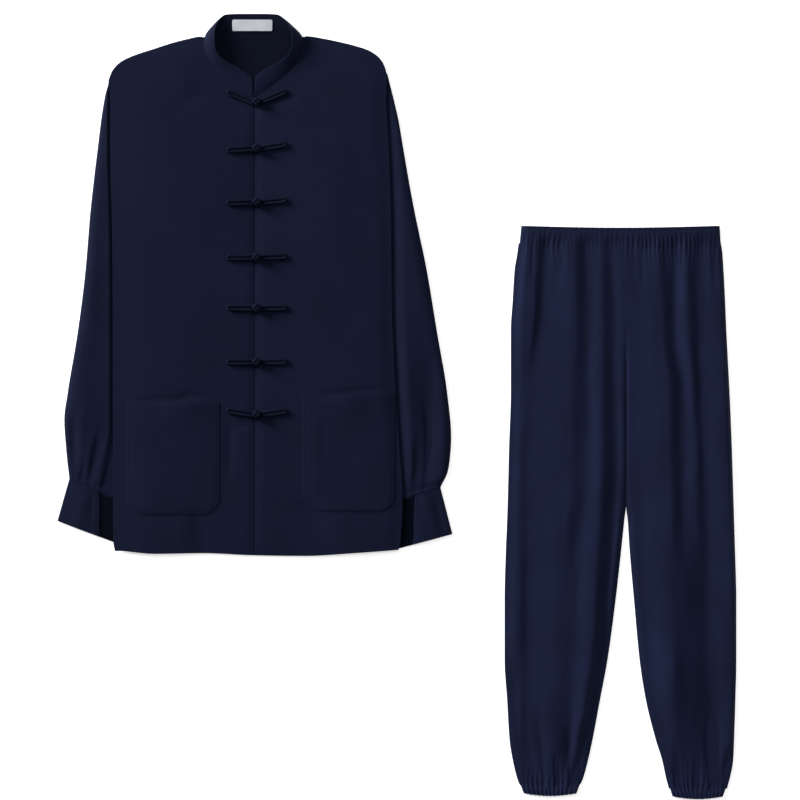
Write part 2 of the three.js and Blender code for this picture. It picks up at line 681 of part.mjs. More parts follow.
function pocketPatch(carriers, { inner, outer, top, bottom, tilt, lipAcross }) {
  const shares = [0, 0.12, 0.4, 0.66, 0.86, 0.93, 0.98, 1];
  const { cornerRadius, columns, reach } = pocket;
  const spot = (s, row) => {
    const below = lerp(top, bottom, shares[row]);
    const intoCorner = Math.max(below - (bottom - cornerRadius), 0);
    const inset = cornerRadius - Math.sqrt(cornerRadius ** 2 - intoCorner ** 2);
    const sign = Math.sign(outer - inner);
    const across = lerp(inner + sign * inset, outer - sign * inset, s);
    return [across, below + tilt * s * (1 - shares[row])];
  };
  const face = (depth) => (s, t, column, row) => {
    const [across, down] = spot(s, row);
    const lip = pocket.lip * Math.exp(-(((across - lipAcross) / pocket.lipWidth) ** 2))
      * (1 - smooth(shares[row], 0, 0.35));
    return [across, -down, seatHeight(carriers, across, down, reach) + hairGap + lip + depth];
  };
  return clothWall(columns, shares.length - 1, face(cloth), face(0));
}

// Half of a frog is one cord laid double. The left half is a closed loop with an
// eye round the knot's stem, the right half a hairpin whose ends meet the eye.
function frogCords(carriers, { down, leftDown, rightDown }) {
  const { cordRadius, sides, spacing, eyeRadius, eyeTurn, knotAcross, reachLeft, reachRight } = frog;
  const lay = (across, centreDown, offset) => {
    const seat = seatHeight(carriers, across, centreDown - offset, cordRadius);
    return new THREE.Vector3(across, -(centreDown - offset), seat + hairGap + cordRadius);
  };
  const eye = { left: knotAcross - eyeRadius, right: knotAcross + eyeRadius };
  const slope = (across) => (across < eye.left
    ? lerp(down, leftDown, (across - eye.left) / (reachLeft - eye.left))
    : lerp(down, rightDown, Math.max(across - eye.right, 0) / (reachRight - eye.right)));
  const arc = (centre, radius, from, to, steps) => Array.from({ length: steps + 1 }, (unused, i) => {
    const turn = lerp(from, to, i / steps);
    const across = centre + radius * Math.cos(turn);
    return lay(across, slope(clamp(across, reachLeft, reachRight)), radius * Math.sin(turn));
  });
  const leftEnd = reachLeft + cordRadius + spacing;
  const rightEnd = reachRight - cordRadius - spacing;
  const loop = [
    ...arc(leftEnd, spacing, Math.PI / 2, Math.PI * 1.5, 4),
    lay(-22, slope(-22), -spacing),
    lay(-5, slope(-5), -spacing),
    ...arc(knotAcross, eyeRadius, -eyeTurn, eyeTurn, 6),
    lay(-5, slope(-5), spacing),
    lay(-22, slope(-22), spacing),
  ];
  const start = knotAcross + eyeRadius + cordRadius + 0.9;
  const hairpin = [
    lay(start, slope(start), -spacing),
    lay(30, slope(30), -spacing),
    ...arc(rightEnd, spacing, -Math.PI / 2, Math.PI / 2, 4),
    lay(30, slope(30), spacing),
    lay(start, slope(start), spacing),
  ];
  return {
    left: cordWall(loop, cordRadius, sides, true),
    right: cordWall(hairpin, cordRadius, sides, false),
  };
}

// The knot: a round button on a stem that stands in the eye of the loop
function frogKnot(carriers, { down }) {
  const { cordRadius, knotRadius, stemRadius, knotAcross } = frog;
  const foot = hairGap + 0.2;
  const under = foot + cordRadius * 2 + 0.7; // the ball starts clear of the cords
  const ballHeight = knotRadius * 1.15;
  const stemTurn = Math.PI * 0.14; // where the ball's arc leaves the stem
  const steps = 4;
  const profile = [[0, foot], [stemRadius, foot], [stemRadius, under]];
  for (let step = 1; step <= steps; step += 1) {
    const turn = lerp(stemTurn, Math.PI, step / steps);
    profile.push([
      step === steps ? 0 : knotRadius * Math.sin(turn),
      under + (ballHeight * (1 - Math.cos(turn))) / 2,
    ]);
  }
  const knot = new THREE.LatheGeometry(profile.map(([x, y]) => new THREE.Vector2(x, y)), 8);
  knot.rotateX(Math.PI / 2);
  knot.translate(knotAcross, -down, seatHeight(carriers, knotAcross, down, cordRadius));
  return knot;
}

// The trousers' surfaces
const legAt = Object.fromEntries(['left', 'right'].map((hand) => {
  const sign = hand === 'left' ? -1 : 1;
  const inner = smoothThrough(legSides[hand], 'down', 'inner');
  return [hand, {
    outer: smoothThrough(legSides[hand], 'down', 'outer'),
    inner: (down) => sign * Math.max(sign * inner(down), gap / 2),
  }];
}));

function legUnder(hand, across, down) {
  const toOuter = Math.abs(legAt[hand].outer(down) - across);
  const toInner = Math.abs(legAt[hand].inner(down) - across);
  const openLeg = smooth(down, trousers.crotchDown - 60, trousers.crotchDown + 30);
  const innerEdge = lerp(lerp(0.5, 1, smooth(toInner, 0, 12)), smooth(toInner, 0, 16), openLeg);
  const lift = Math.max(trousers.frontLift + foldHeight(legFolds, across, down), 0.1);
  return cloth + gap + lift * smooth(toOuter, 0, 14) * innerEdge;
}

function legPoint(hand, s, down, height) {
  const across = lerp(legAt[hand].inner(down), legAt[hand].outer(down), s);
  return [across, -down, height(across, down)];
}

function legFront(hand) {
  const face = (depth) => (s, t) => legPoint(hand, s, lerp(trousers.seamTop, hems[hand].top - 0.5, t),
    (across, down) => legUnder(hand, across, down) + depth);
  return clothWall(trousers.frontColumns, trousers.frontRows, face(cloth), face(0));
}

function legBack(hand) {
  const face = (depth) => (s, t) => legPoint(
    hand, s, lerp(trousers.seamTop, hems[hand].top - 0.5, t), () => depth);
  return clothWall(trousers.backColumns, trousers.backRows, face(cloth), face(0));
}

// A gathered casing: a flattened tube whose upper layer is pleated on the outside.
// The ends of its two edges are given as across and down.
function gatheredCasing({ topEdge, bottomEdge, thick, wall, pleats, ripple, backColumns, rows }) {
  const frontSteps = pleats * 2;
  const around = frontSteps + backColumns + 2;
  const uneven = (index) => 1 + 0.35 * Math.sin(index * 2.3) + 0.2 * Math.sin(index * 0.9);
  const face = (depth) => (s, t, index) => {
    const onTop = index <= frontSteps;
    const share = onTop ? index / frontSteps : 1 - (index - frontSteps - 1) / backColumns;
    const wallShare = depth > 0 ? casingInset : 0;
    const inset = lerp(wallShare, 1 - wallShare, share);
    const left = topEdge.left.map((value, axis) => lerp(value, bottomEdge.left[axis], t));
    const right = topEdge.right.map((value, axis) => lerp(value, bottomEdge.right[axis], t));
    const across = lerp(left[0], right[0], inset);
    const sag = lerp(topEdge.sag, bottomEdge.sag, t) * Math.sin(Math.PI * share);
    const down = lerp(left[1], right[1], share) + sag;
    const crown = smooth(Math.min(share, 1 - share), 0, 0.07);
    const flank = lerp(wall * 2 + hairGap, thick, crown);
    const pleat = depth > 0 ? 0 : (index % 2 ? -1 : 1) * ripple * uneven(index) * crown;
    return [across, -down, onTop ? flank + pleat - depth : depth];
  };
  return clothWall(around, rows, face(0), face(wall), true);
}

function ankleCasing(hand) {
  const { top, bottom, outerTop, outerBottom, innerTop, innerBottom } = hems[hand];
  const [leftTop, rightTop] = [outerTop, innerTop].sort((a, b) => a - b);
  const [leftBottom, rightBottom] = [outerBottom, innerBottom].sort((a, b) => a - b);
  return gatheredCasing({
    ...ankleHem, rows: 2,
    topEdge: { left: [leftTop, top], right: [rightTop, top], sag: 0 },
    bottomEdge: { left: [leftBottom, bottom - 3], right: [rightBottom, bottom - 3], sag: ankleHem.sag },
  });
}

function buildJacket() {
  const group = new THREE.Group();
  addPiece(group, 'jacket_back', jacketBack(), shellMaterial());
  const fronts = ['left', 'right'].map(
    (hand) => addPiece(group, `jacket_front_${hand}`, jacketFront(hand), shellMaterial()));
  for (const hand of ['left', 'right']) {
    addPiece(group, `sleeve_${hand}`, sleeveTube(hand), shellMaterial());
    addPiece(group, `cuff_${hand}`, cuffBand(hand), shellMaterial());
  }
  addPiece(group, 'collar', collarBand(), shellMaterial());
  addPiece(group, 'neck_label', neckLabel(), labelMaterial());
  for (const row of pockets) addPiece(group, row.name, pocketPatch(fronts, row), shellMaterial());
  for (const row of frogs) {
    const cords = frogCords(fronts, row);
    addPiece(group, `${row.name}_left`, cords.left, trimMaterial());
    addPiece(group, `${row.name}_right`, cords.right, trimMaterial());
    addPiece(group, `${row.name}_knot`, frogKnot(fronts, row), trimMaterial());
  }
  group.position.set(...jacket.place, 0);
  return group;
}

function buildTrousers() {
  const group = new THREE.Group();
  group.position.set(...trousers.place, 0);
  addPiece(group, 'waistband', gatheredCasing({
    ...waistband, rows: 2,
    topEdge: { left: [waistSides.top.left, 0], right: [waistSides.top.right, 0], sag: waistband.sag },
    bottomEdge: {
      left: [waistSides.bottom.left, waistband.height],
      right: [waistSides.bottom.right, waistband.height],
      sag: 0,
    },
  }), shellMaterial());
  for (const hand of ['left', 'right']) {
    addPiece(group, `leg_${hand}_front`, legFront(hand), shellMaterial());
    addPiece(group, `leg_${hand}_back`, legBack(hand), shellMaterial());
    addPiece(group, `ankle_hem_${hand}`, ankleCasing(hand), shellMaterial());
  }
  return group;
}

// The whole uniform, moved so that the middle of its underside is the origin
const uniform = new THREE.Group();
uniform.add(buildJacket(), buildTrousers());
const bounds = new THREE.Box3().setFromObject(uniform);
const middle = bounds.getCenter(new THREE.Vector3());
uniform.position.set(-middle.x, -middle.y, -bounds.min.z);

export default uniform;
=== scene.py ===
import math

import bpy
import numpy as np
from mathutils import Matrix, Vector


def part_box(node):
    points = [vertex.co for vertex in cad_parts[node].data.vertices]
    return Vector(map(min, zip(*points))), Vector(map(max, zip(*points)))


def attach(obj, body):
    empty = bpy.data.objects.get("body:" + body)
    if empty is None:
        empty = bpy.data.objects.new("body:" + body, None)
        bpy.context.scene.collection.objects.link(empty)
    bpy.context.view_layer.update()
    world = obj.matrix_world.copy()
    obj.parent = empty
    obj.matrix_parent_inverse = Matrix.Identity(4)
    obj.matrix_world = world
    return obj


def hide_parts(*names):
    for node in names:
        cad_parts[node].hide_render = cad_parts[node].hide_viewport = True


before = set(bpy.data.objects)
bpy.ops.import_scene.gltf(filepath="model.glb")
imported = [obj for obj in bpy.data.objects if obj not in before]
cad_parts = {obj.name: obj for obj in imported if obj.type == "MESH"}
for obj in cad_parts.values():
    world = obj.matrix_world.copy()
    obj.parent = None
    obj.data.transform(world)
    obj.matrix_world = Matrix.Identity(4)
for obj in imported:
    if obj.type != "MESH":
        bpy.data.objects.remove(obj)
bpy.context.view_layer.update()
mm = 0.001

# All shapes are worked out in millimetres in each garment's own frame: across to the
# right of its centre front, down from its top edge, up from the surface it lies on.
centreGap = 0.2  # from the centre front to the edge of each panel beside it
jacketPlace = np.array([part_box("jacket_front_left")[1].x / mm + centreGap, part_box("collar")[1].y / mm, 0])
trouserPlace = np.array([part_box("leg_left_front")[1].x / mm + centreGap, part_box("waistband")[1].y / mm, 0])

studio = {
    "millimetresPerPixel": 1.6,  # the photograph's scale on the surface
    "photoPixels": 800,
    "lookAt": (5.1, 10.2),  # what lies at the middle of the photograph
    "lens": 120,
    "sensor": 36,
    "worldColor": "#ffffff",
    "worldStrength": 0.27,
}


signOf = {"left": -1, "right": 1}  # as seen from above


# Numbers and lines

def mix(start, end, share):
    return start + (end - start) * share


def smoothstep(value, start, end):
    share = np.clip((value - start) / (end - start), 0, 1)
    return share * share * (3 - 2 * share)


def quarterRound(distance, radius):  # 0 at an edge, 1 from the radius on, as a quarter circle
    return np.sqrt(1 - (1 - np.clip(distance / radius, 0, 1)) ** 2)


# Between two points with the given slopes, at the share t of the span
def smoothSpan(t, span, start, end, startSlope, endSlope):
    return ((1 + 2 * t) * (1 - t) ** 2 * start + t * (1 - t) ** 2 * span * startSlope
            + t * t * (3 - 2 * t) * end + t * t * (t - 1) * span * endSlope)


# A smooth line through the rows of a table that never swings past them
def throughRows(keys, values):
    x, y = np.array(keys, float), np.array(values, float)
    y = y.reshape(len(x), -1)
    secant = np.diff(y, axis=0) / np.diff(x)[:, None]
    before, after = secant[:-1], secant[1:]
    same = before * after > 0
    inner = np.where(same, 2 * before * after / np.where(same, before + after, 1), 0)
    slope = np.concatenate([secant[:1], inner, secant[-1:]])

    def line(at):
        at = np.clip(np.asarray(at, float), x[0], x[-1])
        i = np.clip(np.searchsorted(x, at, side="right") - 1, 0, len(x) - 2)
        span = (x[i + 1] - x[i])[..., None]
        t = (at[..., None] - x[i][..., None]) / span
        value = smoothSpan(t, span, y[i], y[i + 1], slope[i], slope[i + 1])
        return value[..., 0] if value.shape[-1] == 1 else value

    return line


# How far along its row or column each point lies
def runAlong(points, axis=0):
    first = np.take(points, [0], axis)
    return np.cumsum(np.linalg.norm(np.diff(points, axis=axis, prepend=first), axis=-1), axis=axis)


def unit(vectors):
    return vectors / np.maximum(np.linalg.norm(vectors, axis=-1, keepdims=True), 1e-9)


# Uneven swells of about the given size in millimetres, from -1 to 1, the same each run
def softNoise(across, down, size, seed):
    count = 64  # the swells come again after this many
    table = np.random.default_rng(seed).uniform(-1, 1, (count, count))
    x, y = np.asarray(across) / size + 10 * count, np.asarray(down) / size + 10 * count
    i, j = np.floor(x).astype(int), np.floor(y).astype(int)
    u, v = smoothstep(x - i, 0, 1), smoothstep(y - j, 0, 1)
    i, j, right, below = i % count, j % count, (i + 1) % count, (j + 1) % count
    return mix(mix(table[i, j], table[right, j], u), mix(table[i, below], table[right, below], u), v)


# Grid lines between the stops, no further apart than step, and crowded at both ends
# so that the edges come out round
def gridLines(stops, step, crowd=(0.12, 0.35, 0.7, 1.2, 1.9)):
    lines = [np.linspace(a, b, max(2, math.ceil(abs(b - a) / step) + 1)) for a, b in zip(stops, stops[1:])]
    first, last = stops[0], stops[-1]
    sign = 1 if last > first else -1
    ends = [first + sign * c for c in crowd] + [last - sign * c for c in crowd]
    every = np.unique(np.round(np.concatenate(lines + [ends]), 4))
    return every if sign > 0 else every[::-1]


# Lifts of the cloth along given paths. A fold is a soft bump across its path,
# as wide on its left and its right as its row says, and it swells and fades along it.
def foldHeight(folds, across, down):
    across, down = np.broadcast_arrays(np.asarray(across, float), np.asarray(down, float))
    height = np.zeros(across.shape)
    for number, fold in enumerate(folds):
        path = np.array(fold["path"], float)
        wander = 1.2 * softNoise(down, 0 * down, 70, 700 + number)
        spans = np.linalg.norm(np.diff(path, axis=0), axis=1)
        nearest = np.full(across.shape, np.inf)
        share = np.zeros(across.shape)
        onRight = np.zeros(across.shape, bool)
        before = 0
        for start, end, length in zip(path, path[1:], spans):
            alongX, alongY = (end - start) / length
            offX, offY = across + wander - start[0], down - start[1]
            run = np.clip(offX * alongX + offY * alongY, 0, length)
            distance = np.hypot(offX - run * alongX, offY - run * alongY)
            closer = distance < nearest
            nearest = np.where(closer, distance, nearest)
            share = np.where(closer, (before + run) / spans.sum(), share)
            onRight = np.where(closer, offX > run * alongX, onRight)
            before += length
        width = np.where(onRight, fold.get("right", fold.get("width")), fold.get("left", fold.get("width")))
        swell = 1 + 0.2 * softNoise(down, 0 * down, 60, 900 + number)
        fade = np.sqrt(np.sin(math.pi * np.clip(share, 0.02, 0.98)))
        height += fold["height"] * np.exp(-(nearest / width) ** 2) * fade * swell
    return height


# Meshes

def meshObject(name, points, faces, material):
    mesh = bpy.data.meshes.new(name)
    mesh.from_pydata((points * mm).tolist(), [], faces.tolist())
    mesh.materials.append(material)
    mesh.polygons.foreach_set("use_smooth", np.ones(len(faces), bool))
    mesh.validate()
    piece = bpy.data.objects.new(name, mesh)
    bpy.context.scene.collection.objects.link(piece)
    return piece


def gridFaces(rows, columns, goesRound, first=0):
    column = np.arange(columns if goesRound else columns - 1)
    row = np.arange(rows - 1)[:, None] * columns
    near, far = row + column, row + (column + 1) % columns
    return np.stack([near, near + columns, far + columns, far], -1).reshape(-1, 4) + first


rimShare = 0.18  # of the cloth's thickness, left at the very edge of its rounding


# A closed wall of cloth about a middle surface, given as rows by columns of points.
# Its free edges are round. A wall that goes round is a tube with open ends. Where the
# two masks say so, its outside or inside shows the cloth's wrong side in a darker material: painted shade.
def clothShell(name, place, middle, thickness, material, goesRound=False,
               shadedWrongOutside=False, shadedWrongInside=False, shadedWrongMaterial=None):
    rows, columns = middle.shape[:2]
    downwards = np.gradient(middle, axis=0)
    sideways = (np.roll(middle, -1, 1) - np.roll(middle, 1, 1)) if goesRound else np.gradient(middle, axis=1)
    normal = unit(np.cross(sideways, downwards))
    half = np.broadcast_to(np.asarray(thickness, float) / 2, (rows, columns))
    length = runAlong(middle)
    fromEdge = np.minimum(length, length[-1:] - length)
    if not goesRound:
        width = runAlong(middle, 1)
        fromEdge = np.minimum(fromEdge, np.minimum(width, width[:, -1:] - width))
    half = half * np.maximum(quarterRound(fromEdge, half), rimShare)
    outside = middle + normal * half[..., None]
    inside = middle - normal * half[..., None]
    flip = outside[rows // 2, columns // 4, 2] < inside[rows // 2, columns // 4, 2]
    if flip:
        outside, inside = inside, outside
    count = rows * columns
    outer, inner = gridFaces(rows, columns, goesRound), gridFaces(rows, columns, goesRound, count)[:, ::-1]
    step = np.arange(columns if goesRound else columns - 1)
    after = (step + 1) % columns
    bottom = (rows - 1) * columns
    rims = [np.stack([step, after, after + count, step + count], -1),
            np.stack([step + bottom, step + bottom + count, after + bottom + count, after + bottom], -1)]
    if not goesRound:
        rise = np.arange(rows - 1) * columns
        rims += [np.stack([rise, rise + count, rise + columns + count, rise + columns], -1),
                 np.stack([rise + columns - 1, rise + 2 * columns - 1, rise + 2 * columns - 1 + count,
                           rise + columns - 1 + count], -1)]
    faces = np.concatenate([outer, inner] + rims)
    points = np.concatenate([outside.reshape(-1, 3), inside.reshape(-1, 3)])
    a, b, c, d = (points[faces[:, i]] for i in range(4))
    volume = (a * np.cross(b, c)).sum() + (a * np.cross(c, d)).sum()
    piece = meshObject(name, points + place, faces if volume > 0 else faces[:, ::-1], material)
    # faces under the masks take the darker material, which paints shade onto them
    if np.any(shadedWrongOutside) or np.any(shadedWrongInside):
        piece.data.materials.append(shadedWrongMaterial or wrongSideShadedMaterial)
        shadedWrongMasks = [np.broadcast_to(mask, (rows, columns)).reshape(-1) for mask in (shadedWrongOutside, shadedWrongInside)]
        shows = np.zeros(len(faces), int)
        shows[:len(outer)] = shadedWrongMasks[0][outer[:, 0]]
        shows[len(outer):2 * len(outer)] = shadedWrongMasks[1][inner[:, 0] - count]
        piece.data.polygons.foreach_set("material_index", shows)
    return piece


# A cord of round section along a path; closed paths join up, open ones get round ends
def cordMesh(path, radius, sides, closed):
    along = unit((np.roll(path, -1, 0) - np.roll(path, 1, 0)) if closed else np.gradient(path, axis=0))
    side = unit(np.cross([0, 0, 1], along))
    up = np.cross(along, side)
    turn = np.linspace(0, 2 * math.pi, sides, endpoint=False)
    run = runAlong(path)
    tip = 0.2  # what is left of the radius at a round end
    rounded = np.maximum(quarterRound(np.minimum(run, run[-1] - run), radius), tip)
    size = radius if closed else radius * rounded[:, None, None]
    section = side[:, None] * np.cos(turn)[:, None] + up[:, None] * np.sin(turn)[:, None]
    ring = path[:, None] + section * size
    count = len(path)
    faces = gridFaces(count, sides, True)
    if closed:
        corner = np.arange(sides)
        last = (count - 1) * sides
        faces = np.concatenate([faces, np.stack([corner + last, corner, (corner + 1) % sides,
                                                 (corner + 1) % sides + last], -1)])
    return ring.reshape(-1, 3), faces


# A smooth curve through a list of points, with a point every step or so
def smoothPath(points, step, closed=False):
    points = np.array(points, float)
    if closed:
        points = np.concatenate([points[-3:], points, points[:3]])
    run = runAlong(points)
    slope = np.gradient(points, run, axis=0)
    start, end = (run[3], run[-3]) if closed else (run[0], run[-1])
    at = np.linspace(start, end, max(4, round((end - start) / step)), endpoint=not closed)
    i = np.clip(np.searchsorted(run, at, side="right") - 1, 0, len(run) - 2)
    span = (run[i + 1] - run[i])[:, None]
    t = (at[:, None] - run[i][:, None]) / span
    return smoothSpan(t, span, points[i], points[i + 1], slope[i], slope[i + 1])


stitch = {"pitch": 3.4, "length": 2.5, "radius": 0.24, "sunk": 0.05}


# Runs of single stitches along lines of points that lie on the cloth
def stitchRuns(name, place, lines, material):
    sides = 6
    # along a stitch, from its middle to its ends, and how thick it is there
    ends = np.array([[-1, 0.15], [-0.86, 0.75], [-0.5, 1], [0.5, 1], [0.86, 0.75], [1, 0.15]])
    turn = np.linspace(0, 2 * math.pi, sides, endpoint=False)
    points, faces, first = [], [], 0
    single = gridFaces(len(ends), sides, True)
    caps = np.array([[0, 1, 2, 3], [0, 3, 4, 5]])
    caps = np.concatenate([caps[:, ::-1], caps + (len(ends) - 1) * sides])
    for line in lines:
        run = runAlong(line)
        middles = np.arange(stitch["pitch"] / 2, run[-1], stitch["pitch"])
        for middle in middles:
            a, b = (np.array([np.interp(middle + k * stitch["length"] / 2, run, line[:, axis])
                              for axis in range(3)]) for k in (-1, 1))
            along = unit(b - a)
            side = unit(np.cross([0, 0, 1], along))
            up = np.cross(along, side)
            centre = (a + b) / 2 + up * (stitch["radius"] * 0.55 - stitch["sunk"])
            for reach, size in ends:
                ring = (centre + along * reach * stitch["length"] / 2 + stitch["radius"] * size
                        * (side * np.cos(turn)[:, None] + up * np.sin(turn)[:, None]))
                points.append(ring)
            faces.append(np.concatenate([single, caps]) + first)
            first += len(ends) * sides
    return meshObject(name, np.concatenate(points) + place, np.concatenate(faces), material)


# Materials

print("making the materials")


def fromHex(text):
    channels = [int(text[i:i + 2], 16) / 255 for i in (1, 3, 5)]
    return tuple(c / 12.92 if c <= 0.04045 else ((c + 0.055) / 1.055) ** 2.4 for c in channels) + (1,)


# Adds a node: its properties, the values of its sockets, and what is linked into them
def addNode(material, kind, properties=None, values=None, links=None):
    node = material.node_tree.nodes.new(kind)
    for key, value in (properties or {}).items():
        setattr(node, key, value)
    for key, value in (values or {}).items():
        node.inputs[key].default_value = value
    for key, source in (links or {}).items():
        material.node_tree.links.new(source, node.inputs[key])
    return node


def newMaterial(name):
    material = bpy.data.materials.new(name)
    material.use_nodes = True
    material.node_tree.nodes.clear()
    return material


# The scale of a wave texture whose pattern repeats after this many millimetres
def waveScale(millimetres):
    repeat = 0.31416  # metres, at a scale of 1
    return repeat / (millimetres * mm)


navyCloth = {
    "dark": "#0f1220", "light": "#111527",
    "roughness": 0.72, "specular": 0.12, "specularTint": "#6f84c8",
    "sheen": 0.02, "sheenTint": "#5f6fa8", "sheenRoughness": 0.45,
    "thread": 1.1,  # millimetres; real threads are 0.3 apart and would not show
    "slubs": 900,  # to the metre: thicker stretches of the yarn
    "clouds": 9,  # to the metre: uneven dyeing, in broad soft patches
    "weaveDepth": 0.035,
}


# Polyester and cotton, plain woven: a matt navy that turns softly lighter where it
# slopes away from the eye
def wovenCloth(name, user):
    material = newMaterial(name)
    place = addNode(material, "ShaderNodeTexCoord").outputs["Object"]
    threads = {"Scale": waveScale(user["thread"])}
    warp = addNode(material, "ShaderNodeTexWave", {"bands_direction": "X"}, threads, {"Vector": place})
    weft = addNode(material, "ShaderNodeTexWave", {"bands_direction": "Y"}, threads, {"Vector": place})
    weave = addNode(material, "ShaderNodeMath", {"operation": "MULTIPLY"},
                    links={0: warp.outputs["Fac"], 1: weft.outputs["Fac"]})
    slub = addNode(material, "ShaderNodeTexNoise", None, {"Scale": user["slubs"], "Detail": 3},
                   {"Vector": place})
    cloud = addNode(material, "ShaderNodeTexNoise", None,
                    {"Scale": user["clouds"], "Detail": 4, "Roughness": 0.6}, {"Vector": place})
    tone = addNode(material, "ShaderNodeMath", {"operation": "MULTIPLY_ADD"}, {1: 0.35},
                   {0: slub.outputs["Fac"], 2: cloud.outputs["Fac"]})
    colour = addNode(material, "ShaderNodeValToRGB", links={"Fac": tone.outputs[0]})
    colour.color_ramp.elements[0].position, colour.color_ramp.elements[1].position = 0.45, 0.9
    colour.color_ramp.elements[0].color = fromHex(user["dark"])
    colour.color_ramp.elements[1].color = fromHex(user["light"])
    rough = addNode(material, "ShaderNodeMapRange", None,
                    {"To Min": user["roughness"] - 0.06, "To Max": user["roughness"] + 0.08},
                    {"Value": cloud.outputs["Fac"]})
    bump = addNode(material, "ShaderNodeBump", None,
                   {"Strength": 0.6, "Distance": user["weaveDepth"] * mm}, {"Height": weave.outputs[0]})
    shader = addNode(material, "ShaderNodeBsdfPrincipled", None, {
        "Specular IOR Level": user["specular"], "Specular Tint": fromHex(user["specularTint"]),
        "Sheen Weight": user["sheen"], "Sheen Tint": fromHex(user["sheenTint"]),
        "Sheen Roughness": user["sheenRoughness"],
    }, {
        "Base Color": colour.outputs["Color"], "Roughness": rough.outputs[0],
        "Normal": bump.outputs["Normal"],
    })
    addNode(material, "ShaderNodeOutputMaterial", links={"Surface": shader.outputs["BSDF"]})
    return material


rolledCord = dict(navyCloth, dark="#0b0e1a", light="#0e1220", specular=0.08, twist=2.6, twistDepth=0.25)


# The same cloth cut on the bias and rolled: its weave runs slantwise round the cord
def biasCord(name, user):
    material = wovenCloth(name, user)
    nodes = material.node_tree.nodes
    place = next(n for n in nodes if n.type == "TEX_COORD").outputs["Object"]
    slant = addNode(material, "ShaderNodeTexWave", {"bands_direction": "DIAGONAL"},
                    {"Scale": waveScale(user["twist"]), "Distortion": 1.2, "Detail": 1}, {"Vector": place})
    weave = next(n for n in nodes if n.type == "BUMP")
    ridge = addNode(material, "ShaderNodeBump", None, {"Strength": 0.5, "Distance": user["twistDepth"] * mm},
                    {"Height": slant.outputs["Fac"], "Normal": weave.outputs["Normal"]})
    shader = next(n for n in nodes if n.type == "BSDF_PRINCIPLED")
    material.node_tree.links.new(ridge.outputs["Normal"], shader.inputs["Normal"])
    return material


navyThread = {"color": "#0a0d1a", "roughness": 0.5, "specular": 0.15, "ply": 0.5, "plyDepth": 0.06}
whiteThread = dict(navyThread, color="#a9aab0")


# Spun polyester sewing thread: a little glossier than the cloth, with a twist of plies
def sewingThread(name, user):
    material = newMaterial(name)
    place = addNode(material, "ShaderNodeTexCoord").outputs["Object"]
    ply = addNode(material, "ShaderNodeTexWave", {"bands_direction": "DIAGONAL"},
                  {"Scale": waveScale(user["ply"])}, {"Vector": place})
    bump = addNode(material, "ShaderNodeBump", None, {"Strength": 0.5, "Distance": user["plyDepth"] * mm},
                   {"Height": ply.outputs["Fac"]})
    shader = addNode(material, "ShaderNodeBsdfPrincipled", None,
                     {"Base Color": fromHex(user["color"]), "Roughness": user["roughness"],
                      "Specular IOR Level": user["specular"]}, {"Normal": bump.outputs["Normal"]})
    addNode(material, "ShaderNodeOutputMaterial", links={"Surface": shader.outputs["BSDF"]})
    return material


labelRibbon = {"dark": "#96979f", "light": "#aeafb5", "roughness": 0.38, "sheen": 0.1,
               "float": 0.8,  # millimetres, coarser than the real 0.2 so that it shows
               "floatDepth": 0.04, "mottles": 60}  # soft patches to the metre


# Polyester satin ribbon: off-white, floats along its length give a soft streaked gloss
def satinRibbon(name, user):
    material = newMaterial(name)
    place = addNode(material, "ShaderNodeTexCoord").outputs["Object"]
    floats = addNode(material, "ShaderNodeTexWave", {"bands_direction": "Y"},
                     {"Scale": waveScale(user["float"]), "Distortion": 0.6}, {"Vector": place})
    mottle = addNode(material, "ShaderNodeTexNoise", None,
                     {"Scale": user["mottles"], "Detail": 3}, {"Vector": place})
    colour = addNode(material, "ShaderNodeValToRGB", links={"Fac": mottle.outputs["Fac"]})
    colour.color_ramp.elements[0].color = fromHex(user["dark"])
    colour.color_ramp.elements[1].color = fromHex(user["light"])
    bump = addNode(material, "ShaderNodeBump", None, {"Strength": 0.4, "Distance": user["floatDepth"] * mm},
                   {"Height": floats.outputs["Fac"]})
    shader = addNode(material, "ShaderNodeBsdfPrincipled", None,
                     {"Roughness": user["roughness"], "Sheen Weight": user["sheen"]},
                     {"Base Color": colour.outputs["Color"], "Normal": bump.outputs["Normal"]})
    addNode(material, "ShaderNodeOutputMaterial", links={"Surface": shader.outputs["BSDF"]})
    return material


paleBoard = {"color": "#fbfbfb", "specular": 0.2, "glow": 0.5, "mottles": 40,
             "halfSize": 8, "below": 0.4}  # metres, and millimetres under the cloth


# Matt white laminate with a faint mottle, lit a little from below as a light table is
def mattLaminate(name, user):
    material = newMaterial(name)
    place = addNode(material, "ShaderNodeTexCoord").outputs["Object"]
    mottle = addNode(material, "ShaderNodeTexNoise", None,
                     {"Scale": user["mottles"], "Detail": 4}, {"Vector": place})
    rough = addNode(material, "ShaderNodeMapRange", None, {"To Min": 0.75, "To Max": 0.85},
                    {"Value": mottle.outputs["Fac"]})
    shader = addNode(material, "ShaderNodeBsdfPrincipled", None,
                     {"Base Color": fromHex(user["color"]), "Specular IOR Level": user["specular"],
                      "Emission Color": fromHex(user["color"]), "Emission Strength": user["glow"]},
                     {"Roughness": rough.outputs[0]})
    addNode(material, "ShaderNodeOutputMaterial", links={"Surface": shader.outputs["BSDF"]})
    return material
